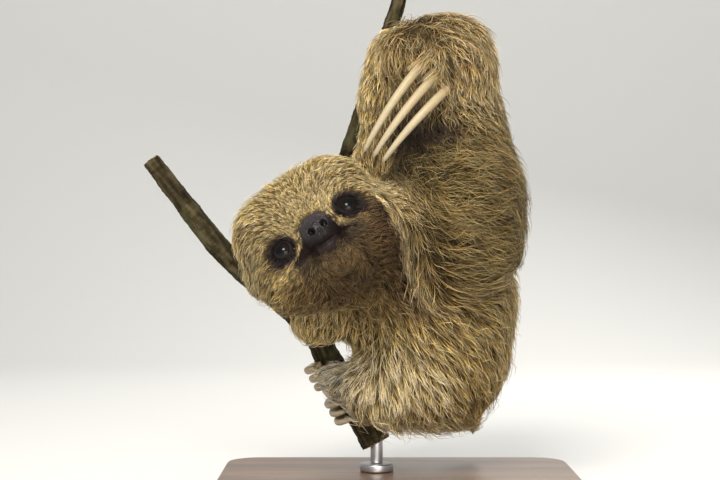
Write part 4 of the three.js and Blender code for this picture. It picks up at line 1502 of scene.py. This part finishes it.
root_at = at_roots(skin_points)
root_uv = (corner_uv[corners[root_on]] * weights[..., None]).sum(1)
root_length, root_depth, root_width, root_clump, root_wave, root_jitter, root_overhang = at_roots(
    np.stack([hair_length, hair_depth, hair_width, hair_clump, hair_wave, hair_jitter, at_fringe], 1)
).T
root_part = part_shares[triangles[root_on]].mean(1).argmax(1)
on_hand = at_roots(part_shares)[:, FLESH.index("left_hand")]
root_fringe = on_hand * fade(*FRINGE_PLACE["up"], root_at[:, 2]) * (root_at[:, 1] < FRINGE_PLACE["front"])
root_tint = at_roots(tints(skin_points, part_shares)) * rng.normal(1, TINT_SPREAD, (root_count, 3))
print("roots:", root_count)


# %% Growth
LENGTH_SPREAD = (0.7, 1.12)
DEPTH_SPREAD = (0.2, 1.0)
STRAY = {"share": 0.12, "angle": math.radians(38), "rise": 0.5}
ROOT_SINK = 0.5 * MM
FRINGE = {"lift": 7 * MM, "spread": (0.3, 1.0), "cut": 0.45}  # hair at the hand's edge, clear of the arm
OVERHANG_SHARE = 0.6
WHORL_JITTER = {"angle": math.radians(95), "reach": 14 * MM}
WAVE_TURN = 4.5
LOCK_SIZE = 9


def turned(directions, axes, angles):
    """Directions turned about axes by angles, row by row."""
    return directions * np.cos(angles)[:, None] + np.cross(axes, directions) * np.sin(angles)[:, None]


def grow(rows, steps):
    """Walks the hairs of the given roots over the skin; gives points of shape steps + 1, hairs, 3."""
    count = len(rows)
    foot, on = root_at[rows], root_on[rows]
    length = root_length[rows] * MM * rng.uniform(*LENGTH_SPREAD, count)
    length *= 1 - FRINGE["cut"] * root_fringe[rows]
    height = root_depth[rows] * MM * rng.uniform(*DEPTH_SPREAD, count)
    stray = rng.random(count) < STRAY["share"]
    height *= 1 + STRAY["rise"] * stray
    lean = rng.normal(0, 1, count) * root_jitter[rows] + stray * rng.normal(0, STRAY["angle"], count)
    near_whorl = stroke(length_of(foot - WHORL), WHORL_JITTER["reach"])
    lean += WHORL_JITTER["angle"] * near_whorl * rng.normal(0, 1, count)
    phase = rng.uniform(0, 2 * math.pi, count)
    lift = FRINGE["lift"] * (root_fringe + OVERHANG_SHARE * root_overhang)[rows]
    lift *= rng.uniform(*FRINGE["spread"], count)
    path = [foot - ground_normal[on] * ROOT_SINK]
    for step in range(1, steps + 1):
        share = step / steps
        bend = root_wave[rows] * np.sin(phase + WAVE_TURN * share)
        way = turned(ground_comb[on], ground_normal[on], lean + bend)
        foot, on = onto_skin(foot + way * (length / steps)[:, None])
        rise = height * (1 - (1 - share) ** 2) + lift * share ** 2
        path.append(foot + ground_normal[on] * rise[:, None])
    return np.array(path)


def in_locks(path, rows):
    """Leans hairs towards the middle hair of their lock, more and more towards the tips."""
    heads = np.arange(0, len(rows), LOCK_SIZE)
    tree = KDTree(len(heads))
    middle = path[path.shape[0] // 2]
    for number, head in enumerate(heads):
        tree.insert(middle[head], number)
    tree.balance()
    lock = np.array([tree.find(point)[1] for point in middle])
    pull = np.linspace(0, 1, len(path))[:, None] * root_clump[rows][None, :]
    return path + (path[:, heads[lock]] - path) * pull[..., None], lock


# %% [markdown]
# Every path becomes a spike: a ring of three vertices at each step and one vertex at the tip. All hairs
# of a piece have the same make-up, so one hair's faces are written down once and repeated with other
# vertex numbers.

# %% Hairs as mesh
PATCH = 0.003
SIDES = 3
SIDE_SHADE = np.array([1.2, 0.68, 1.04])  # painted light and shade: a tuft is painted lighter on one side and darker on another, which makes it look finer
TAPER = {"root": 0.55, "opening": 1.8, "tip": 0.75}  # thin at the root, full soon after, thin at the tip
OFF_AXIS = 0.3  # keeps the ring's first direction away from the hair's own


def tuft_faces(levels):
    """The corners of one hair's faces in one row, and where each face starts in it."""
    faces = []
    for low in range(0, (levels - 1) * SIDES, SIDES):
        for side in range(SIDES):
            a, b = low + side, low + (side + 1) % SIDES
            faces.append((a, b, b + SIDES, a + SIDES))
    last, tip = (levels - 1) * SIDES, levels * SIDES
    faces += [(last + side, last + (side + 1) % SIDES, tip) for side in range(SIDES)]
    faces.append((2, 1, 0))
    return np.concatenate(faces), np.cumsum([0] + [len(face) for face in faces])[:-1]


def tuft_mesh(name, path, width, uv, tint, shade):
    """One mesh of closed spikes along the paths, with attributes and a small patch of the map each."""
    levels, count = len(path) - 1, path.shape[1]
    share = np.linspace(0, 1, levels + 1)
    tangent = unit(np.concatenate([path[1:2] - path[:1], path[2:] - path[:-2]]))
    aside = unit(np.cross(tangent, np.roll(tangent, 1, axis=2) + OFF_AXIS))
    above = np.cross(aside, tangent)
    taper = np.minimum(TAPER["root"] + TAPER["opening"] * share[:-1], 1)
    taper *= 1 - TAPER["tip"] * share[:-1] ** 2
    radius = 0.5 * width[None, :] * taper[:, None] * MM
    spin = rng.uniform(0, 2 * math.pi, count)
    sides = []
    for side in range(SIDES):
        angle = spin + 2 * math.pi * side / SIDES
        offset = aside * np.cos(angle)[None, :, None] + above * np.sin(angle)[None, :, None]
        sides.append(path[:-1] + offset * radius[..., None])
    rings = np.stack(sides, 2).transpose(1, 0, 2, 3).reshape(count, -1, 3)
    vertices = np.concatenate([rings, path[-1][:, None]], 1)
    per_hair = levels * SIDES + 1
    hair_corners, starts = tuft_faces(levels)
    hairs = np.arange(count)[:, None]
    loops = (hair_corners[None, :] + per_hair * hairs).ravel()
    loop_starts = (starts[None, :] + len(hair_corners) * hairs).ravel()

    mesh = bpy.data.meshes.new(name)
    mesh.vertices.add(count * per_hair)
    mesh.vertices.foreach_set("co", vertices.astype(np.float32).ravel())
    mesh.loops.add(len(loops))
    mesh.loops.foreach_set("vertex_index", loops.astype(np.int32))
    mesh.polygons.add(len(loop_starts))
    mesh.polygons.foreach_set("loop_start", loop_starts.astype(np.int32))
    mesh.polygons.foreach_set("use_smooth", [True] * len(loop_starts))
    mesh.update(calc_edges=True)

    along = np.append(np.repeat(share[:-1], SIDES), 1)
    side_shade = np.append(np.tile(SIDE_SHADE, levels), 1.0)
    write_attribute(mesh, "Along", "FLOAT", np.tile(along, count))
    write_attribute(mesh, "Shade", "FLOAT", shade[:, None] * side_shade[None, :])
    write_attribute(mesh, "Tint", "FLOAT_COLOR", with_alpha(np.repeat(tint, per_hair, 0)))
    round_share = np.append(np.tile(np.arange(SIDES) / (SIDES - 1), levels), 0.5)
    patch = PATCH * (np.stack([round_share, along], 1) - 0.5)
    uv_rows = uv[:, None] + patch[None, hair_corners]
    mesh.uv_layers.new(name=MAP_NAME).data.foreach_set("uv", uv_rows.astype(np.float32).ravel())
    return mesh


# %% [markdown]
# ## Coat material
# A sloth's hair is dull and dry. It is painted dark at the root, as the shade deep in the coat, and pale and
# less yellow at the tip, partly hair that sun and algae have worn pale and partly a painted highlight. The
# tint comes from the skin's markings, a random shade sets hairs and locks apart, and fine noise along the
# hair breaks up what is left.

# %% Coat material
PALEST_HAIR = (0.92, 0.77, 0.54)

fur, fur_tree = new_material("sloth_coat")
# painted shade at the root and a painted highlight at the tip
fur_light = ramp(fur_tree, attribute(fur_tree, "Along"), [
    (0.0, rgb(0.04, 0.024, 0.008)),
    (0.3, rgb(0.20, 0.15, 0.075)),
    (0.6, rgb(0.94, 0.89, 0.76)),
    (0.88, rgb(1.33, 1.54, 2.2)),
])
fur_lit = mixed(fur_tree, 1.0, attribute(fur_tree, "Tint", "Color"), fur_light, "MULTIPLY")
fur_colour, _ = speckled(fur_tree, fur_lit, grain=800.0, depth=0.5)
fur_shaded = vector_node(fur_tree, "SCALE", fur_colour, Scale=attribute(fur_tree, "Shade"))
dress(fur_tree, {
    "Base Color": vector_node(fur_tree, "MINIMUM", fur_shaded, i1=PALEST_HAIR),
    "Roughness": 0.5,
    "Specular IOR Level": 0.22,
    "Sheen Weight": 0.05,
    "Sheen Roughness": 0.4,
})

# %% [markdown]
# Hair must not grow through the branch or over the eyes, so a hair with a point in either place is
# left out.

# %% Places that hair keeps clear of
CLEARANCE = 0.8 * MM
BRANCH_REACH = 12 * MM
EYE_CLEARANCE = 5.4

branch_copy = merged_node("perch_branch")
branch_tree = BVHTree.FromBMesh(branch_copy)
branch_copy.free()


def clear_of_branch(points):
    """True for points outside the branch by the clearance."""
    clear = np.ones(len(points), bool)
    for row, point in enumerate(points):
        place, normal, _, _ = branch_tree.find_nearest(point, BRANCH_REACH)
        if place is not None:
            clear[row] = (Vector(point) - place).dot(normal) > CLEARANCE
    return clear


def clear_of_eyes(points):
    """True for points that don't hang over an eyeball."""
    q = to_head(points)
    return (eye_distance(q) > EYE_CLEARANCE) | (q[:, 2] < EYE["forward"])


# %% Grow the coat
COAT_GROUPS = {
    "head": (["head", "muzzle", "lower_jaw", "left_ear", "right_ear"], 3),
    "neck": (["neck"], 4),
    "trunk": (["trunk", "tail"], 3),
    "left_arm": (["left_upper_arm", "left_forearm"], 4),
    "left_hand": (["left_hand"], 4),
    "right_arm": (["right_upper_arm", "right_forearm", "right_hand"], 3),
    "left_leg": (["left_thigh", "left_shank", "left_foot"], 3),
    "right_leg": (["right_thigh", "right_shank", "right_foot"], 3),
}
MAX_TRIANGLES = 195_000
SHADE = {"darkest": 0.42, "more": 1.35, "power": 1.6}  # most hairs are dark, and a few are bright
LOCK_SHADE = (0.72, 1.28)

coat_pieces = []


def coat_piece(name, *tufts):
    """A mesh of hairs as a piece of the coat."""
    mesh = tuft_mesh(name, *tufts)
    mesh.materials.append(fur)
    piece = added(name, mesh)
    on_frame(piece, "coat")
    coat_pieces.append(piece)


for group, (parts, steps) in COAT_GROUPS.items():
    rows = np.flatnonzero(np.isin(root_part, [FLESH.index(name) for name in parts]))
    path, lock = in_locks(grow(rows, steps), rows)
    clear = np.all([clear_of_branch(points) & clear_of_eyes(points) for points in path[1:]], 0)
    shade = SHADE["darkest"] + SHADE["more"] * rng.uniform(0, 1, len(rows)) ** SHADE["power"]
    shade *= rng.uniform(*LOCK_SHADE, lock.max() + 1)[lock]
    kept = np.flatnonzero(clear)
    hair_triangles = 2 * SIDES * (steps - 1) + SIDES + 1  # its sides, its tip and its root
    pieces = math.ceil(len(kept) * hair_triangles / MAX_TRIANGLES)
    for number, part in enumerate(np.array_split(kept, pieces)):
        own = rows[part]
        tufts = path[:, part], root_width[own], root_uv[own], root_tint[own], shade[part]
        coat_piece(f"coat_{group}_{number + 1}", *tufts)
    print(group, "hairs:", len(kept), "of", len(rows), "in", pieces, "pieces")

# %% [markdown]
# The claws grow out of the hair, so each claw gets a cuff: hairs that start round its root and lie
# along it. They follow the claw's own curve, a little outside its surface, and flare at their tips.

# %% Cuffs of hair at the claws
CUFF_HAIRS = {"hand": 130, "foot": 60}
CUFF_LENGTH = {"left_hand_horn_1": 14, "left_hand_horn_2": 15, "left_hand_horn_3": 6}
USUAL_CUFF = 5
CUFF_STEPS = 4
CUFF_WIDTH = 0.5
CUFF_SHADE = (0.6, 1.3)
CUFF_START, CUFF_REACH, CUFF_EXTRA = (0, 0.75), (0.45, 0.9), 2 * MM
CUFF_VEER, CUFF_FLARE = 0.5, (0.2, 1.6)
CUFF_HEIGHT = {"root": 0.75, "rise": 0.3, "steepness": 3}  # in radii of the claw
SPAN_PARTS = 20


def cuff_hair(curve, span, cover):
    """The points of one hair along the root of a claw."""
    centre_at, radius, across = curve
    start = rng.uniform(*CUFF_START) * cover
    length = rng.uniform(*CUFF_REACH) * cover + CUFF_EXTRA
    angle, veer = rng.uniform(0, 2 * math.pi), rng.normal(0, CUFF_VEER)
    flare = rng.uniform(*CUFF_FLARE) * MM
    points = []
    for share in np.linspace(0, 1, CUFF_STEPS + 1).tolist():
        t = min((start + share * length) / span, 1)
        tangent = (centre_at(t + 0.01) - centre_at(t)).normalized()
        aside = tangent.cross(across).normalized()
        turn = angle + veer * share
        out = aside * math.cos(turn) + aside.cross(tangent) * math.sin(turn)
        height = CUFF_HEIGHT["root"] + CUFF_HEIGHT["rise"] * min(CUFF_HEIGHT["steepness"] * share, 1)
        points.append(centre_at(t) + out * (radius * height + flare * share))
    return points


cuff_paths = []
for name, curve in claw_curves.items():
    stops = [curve[0](i / SPAN_PARTS) for i in range(SPAN_PARTS + 1)]
    span = sum((after - before).length for before, after in zip(stops, stops[1:]))
    cover = CUFF_LENGTH.get(name, USUAL_CUFF) * MM
    hairs = CUFF_HAIRS["hand" if "hand" in name else "foot"]
    cuff_paths += [cuff_hair(curve, span, cover) for _ in range(hairs)]
cuff_path = np.array(cuff_paths).transpose(1, 0, 2)
cuff_roots = cuff_path[0]
cuff_count = len(cuff_roots)
_, cuff_on = onto_skin(cuff_roots)
cuff_tint = tints(cuff_roots, shares_of_parts(cuff_roots)) * rng.normal(1, TINT_SPREAD, (cuff_count, 3))
cuff_uv = corner_uv[corners[cuff_on][:, 0]]
cuff_widths = np.full(cuff_count, CUFF_WIDTH)
coat_piece("coat_cuffs", cuff_path, cuff_widths, cuff_uv, cuff_tint, rng.uniform(*CUFF_SHADE, cuff_count))
print("cuff hairs:", cuff_count)

# %% [markdown]
# ## The branch
# A real branch has no seams and no facets, and its bark runs along it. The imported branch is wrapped
# anew by a voxel remesh, and its vertices are moved by noise that is stretched along the nearest limb.
# The cut ends stay flat and pale.

# %% Branch limbs
LIMBS = {
    "stem": [(-14, 24, 32), (-23.5, 26, 50), (-46, 30, 86), (-52, 34, 104)],
    "twig": [(-52, 34, 100), (-49, 36, 164), (-32, 22, 222), (-16, 14, 267), (5, 8, 334)],
    "side": [(-50, 33, 98), (-74, 30, 122), (-108, 24, 150), (-138, 20, 187), (-160, 18, 216)],
}
LIMB_APART = 200.0  # sets the pattern of one limb apart from the next


def limb_places(points):
    """For each point: how far along the nearest limb it is, and the offset from the limb's middle."""
    best = np.full(len(points), np.inf)
    along = np.zeros(len(points))
    offset = np.zeros_like(points)
    way = np.zeros_like(points)
    for number, line in enumerate(LIMBS.values()):
        travelled = LIMB_APART * number
        for start, end in zip(line, line[1:]):
            start, end = np.array(start) * MM, np.array(end) * MM
            run = length_of(end - start)
            share, off = beside(points, start, end)
            near = length_of(off)
            chosen = near < best
            best[chosen] = near[chosen]
            along[chosen] = travelled + share[chosen] * run / MM
            offset[chosen] = off[chosen]
            way[chosen] = (end - start) / run
            travelled += run / MM
    return along, offset / MM, way


# %% Bark
BARK_VOXEL = 1.2 * MM
BARK_SMOOTHINGS = 4
BARK_DEPTH = 0.8
CUT_FACING = 0.8  # a face that looks this much along its limb belongs to a cut end
LENGTHWISE = (0.34, 0.055)  # how fast the furrows change across the limb and along it
CROSSWISE = (0.06, 0.45)
CRACK_SHARE = 0.35
FURROWS = (0.8, 2.1, 4)  # how fast finer octaves fade, the step between octaves, and their number
LIMB_STRETCH = 0.15

bark, bark_tree = new_material("branch_bark")
branch = wrapped("branch", merged_node("perch_branch"), bark, BARK_VOXEL, BARK_SMOOTHINGS)
bark_points = coordinates(branch.data)
bark_normals = rows_of(branch.data.vertices, "normal", 3)
along, offset, way = limb_places(bark_points)
run_along = along[:, None] * way
lengthwise = LENGTHWISE[0] * offset + LENGTHWISE[1] * run_along
crosswise = CROSSWISE[0] * offset + CROSSWISE[1] * run_along
ridges = np.array([
    noise.fractal(Vector(furrow), *FURROWS) + CRACK_SHARE * noise.noise(Vector(crack))
    for furrow, crack in zip(lengthwise, crosswise)
])
cut_end = np.abs((bark_normals * way).sum(1)) > CUT_FACING
ridges[cut_end] = 0
move_to(branch.data, bark_points + bark_normals * (ridges * BARK_DEPTH * MM)[:, None])
branch.data.polygons.foreach_set("use_smooth", [True] * len(branch.data.polygons))
write_attribute(branch.data, "Ridge", "FLOAT", np.clip(0.5 + 0.5 * ridges, 0, 1))
write_attribute(branch.data, "Cut", "FLOAT", cut_end)
write_attribute(branch.data, "Limb", "FLOAT_VECTOR", offset + LIMB_STRETCH * run_along)
on_frame(branch, "bark", "perch_branch")
print("branch:", len(branch.data.polygons), "faces")

# %% [markdown]
# Bark is dark in its furrows and paler on its ridges, so its colour follows the height that was given
# to each vertex. Fibres along the limb, clouds of lichen and the pale wood of the cut ends lie over it.

# %% Bark material
limb_place = attribute(bark_tree, "Limb", "Vector")
fibres = noise_at(bark_tree, limb_place, scale=1.1, detail=6.0, roughness=0.65)
# Painted shade: all the bark's colours are kept dark, as if the branch lay in shade, from its furrows to its
# paler ridges.
bark_and_shade = ramp(bark_tree, attribute(bark_tree, "Ridge"), [
    (0.15, rgb(0.012, 0.009, 0.004)),
    (0.5, rgb(0.041, 0.032, 0.015)),
    (0.85, rgb(0.095, 0.078, 0.042)),
])
fibre_shades = mixed(bark_tree, fibres, rgb(0.35, 0.33, 0.30), rgb(1.5, 1.45, 1.38))
fibred = mixed(bark_tree, 0.85, bark_and_shade, fibre_shades, "MULTIPLY")
clouds = noise_at(bark_tree, object_place(bark_tree), scale=55.0, detail=5.0, roughness=0.7)
lichen = ranged(bark_tree, clouds, low=0.56, high=0.66)
lichened = tinted(bark_tree, fibred, mask=lichen, share=0.55, colour=rgb(0.075, 0.08, 0.035))
with_cuts = mixed(bark_tree, attribute(bark_tree, "Cut"), lichened, rgb(0.46, 0.34, 0.20))
bark_colour, bark_grain = speckled(bark_tree, with_cuts, grain=900.0, depth=0.6)
bark_height = math_node(bark_tree, "ADD", times(bark_tree, fibres, 1.6), bark_grain)
dress(bark_tree, {
    "Base Color": bark_colour,
    "Normal": bumped(bark_tree, bark_height, strength=0.7, depth_mm=1.2),
    "Roughness": 0.92,
    "Specular IOR Level": 0.12,
})

# %% [markdown]
# ## The stand
# A museum stand is quiet: a walnut base with rounded corners and a satin finish, a short steel rod and
# a collar that holds it. The base is a cube whose four upright edges get a wide bevel and whose rims
# get a narrow one. The rod and collar are cones with equal ends and bevelled rims.

# %% Walnut base
CORNER, CORNER_STEPS = 22 * MM, 12
RIM, RIM_STEPS = 2 * MM, 4


def height_of(edge):
    """How much higher one end of an edge is than the other."""
    return abs(edge.verts[0].co.z - edge.verts[1].co.z)


walnut, walnut_tree = new_material("walnut")
low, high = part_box("stand_base")
size = Vector(high) - Vector(low)
block = bmesh.new()
bmesh.ops.create_cube(block, size=1)
bmesh.ops.scale(block, vec=size, verts=block.verts)
bmesh.ops.translate(block, vec=(Vector(low) + Vector(high)) / 2, verts=block.verts)
bevelled(block, [edge for edge in block.edges if height_of(edge) > size.z / 2], CORNER, CORNER_STEPS)
level_faces = [face for face in block.faces if abs(face.normal.z) > 0.9]
bevelled(block, list({edge for face in level_faces for edge in face.edges}), RIM, RIM_STEPS)
base = finished("walnut_base", block, walnut, smooth=False)
on_frame(base, "walnut", "stand_base")
print("base measures, mm:", (size / MM)[:])

# %% [markdown]
# Walnut shows long wavy bands where the board cuts through the tree's growth rings, and fine dark
# pores along them. Both are noises stretched along the board, and a slower noise bends them.

# %% Walnut material
walnut_place = object_place(walnut_tree)
bend = noise_at(walnut_tree, walnut_place, scale=9.0, detail=2.0, roughness=0.5, stretch=(0.35, 1.0, 1.0))
sway = vector_node(walnut_tree, "SCALE", bend, Scale=0.05)
bent_place = vector_node(walnut_tree, "ADD", walnut_place, i1=sway)
growth = noise_at(walnut_tree, bent_place, scale=42.0, detail=5.0, roughness=0.6, stretch=(0.09, 1.0, 0.5))
walnut_bands = ramp(walnut_tree, growth, [
    (0.30, rgb(0.060, 0.030, 0.017)),
    (0.48, rgb(0.135, 0.070, 0.038)),
    (0.62, rgb(0.205, 0.115, 0.062)),
    (0.75, rgb(0.110, 0.056, 0.030)),
])
dots = noise_at(walnut_tree, bent_place, scale=900.0, detail=2.0, roughness=0.5, stretch=(0.06, 1.0, 1.0))
pores = ranged(walnut_tree, dots, low=0.60, high=0.72)
pored = tinted(walnut_tree, walnut_bands, mask=pores, share=0.6, colour=rgb(0.03, 0.015, 0.009))
walnut_colour, walnut_grain = speckled(walnut_tree, pored, grain=300.0, depth=0.25)
walnut_height = math_node(walnut_tree, "SUBTRACT", walnut_grain, pores)
dress(walnut_tree, {
    "Base Color": walnut_colour,
    "Normal": bumped(walnut_tree, walnut_height, strength=0.15, depth_mm=0.3),
    "Roughness": 0.38,
    "Coat Weight": 0.25,
    "Coat Roughness": 0.25,
})

# %% [markdown]
# Brushed steel is a plain metal whose roughness changes in fine streaks along the brushing.

# %% Steel rod and collar
ROD_SEGMENTS = 48
BAR_RIM_STEPS = 3

steel, steel_tree = new_material("brushed_steel")
STEEL_STRETCH = (1.0, 1.0, 0.04)  # the noise changes slowly up the bar, so its streaks stand upright
steel_place = object_place(steel_tree)
brushing = noise_at(steel_tree, steel_place, scale=1500.0, detail=3.0, roughness=0.6, stretch=STEEL_STRETCH)
dress(steel_tree, {
    "Base Color": mixed(steel_tree, brushing, rgb(0.42, 0.42, 0.43), rgb(0.66, 0.66, 0.66)),
    "Roughness": ranged(steel_tree, brushing, to=(0.28, 0.5)),
    "Normal": bumped(steel_tree, brushing, strength=0.08, depth_mm=0.2),
    "Metallic": 1.0,
})


def round_bar(name, node, edge_width):
    """A round bar in the box of a node, with bevelled rims."""
    low, high = (Vector(corner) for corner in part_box(node))
    radius, height = (high.x - low.x) / 2, high.z - low.z
    bar = bmesh.new()
    bmesh.ops.create_cone(
        bar, cap_ends=True, segments=ROD_SEGMENTS, radius1=radius, radius2=radius, depth=height,
        matrix=Matrix.Translation((low + high) / 2),
    )
    bevelled(bar, [edge for edge in bar.edges if height_of(edge) < height / 2], edge_width, BAR_RIM_STEPS)
    piece = finished(name, bar, steel)
    piece.data.polygons.foreach_set("use_smooth", [abs(p.normal.z) < 0.5 for p in piece.data.polygons])
    on_frame(piece, "steel", node)
    print(name, "radius, mm:", round(radius / MM, 2))


round_bar("rod", "stand_rod", 0.2 * MM)
round_bar("collar", "stand_collar", 0.8 * MM)

# %% [markdown]
# ## Measure and finish
# The faces of the coat are counted.

# %% Finish
print("coat faces:", sum(len(piece.data.polygons) for piece in coat_pieces))
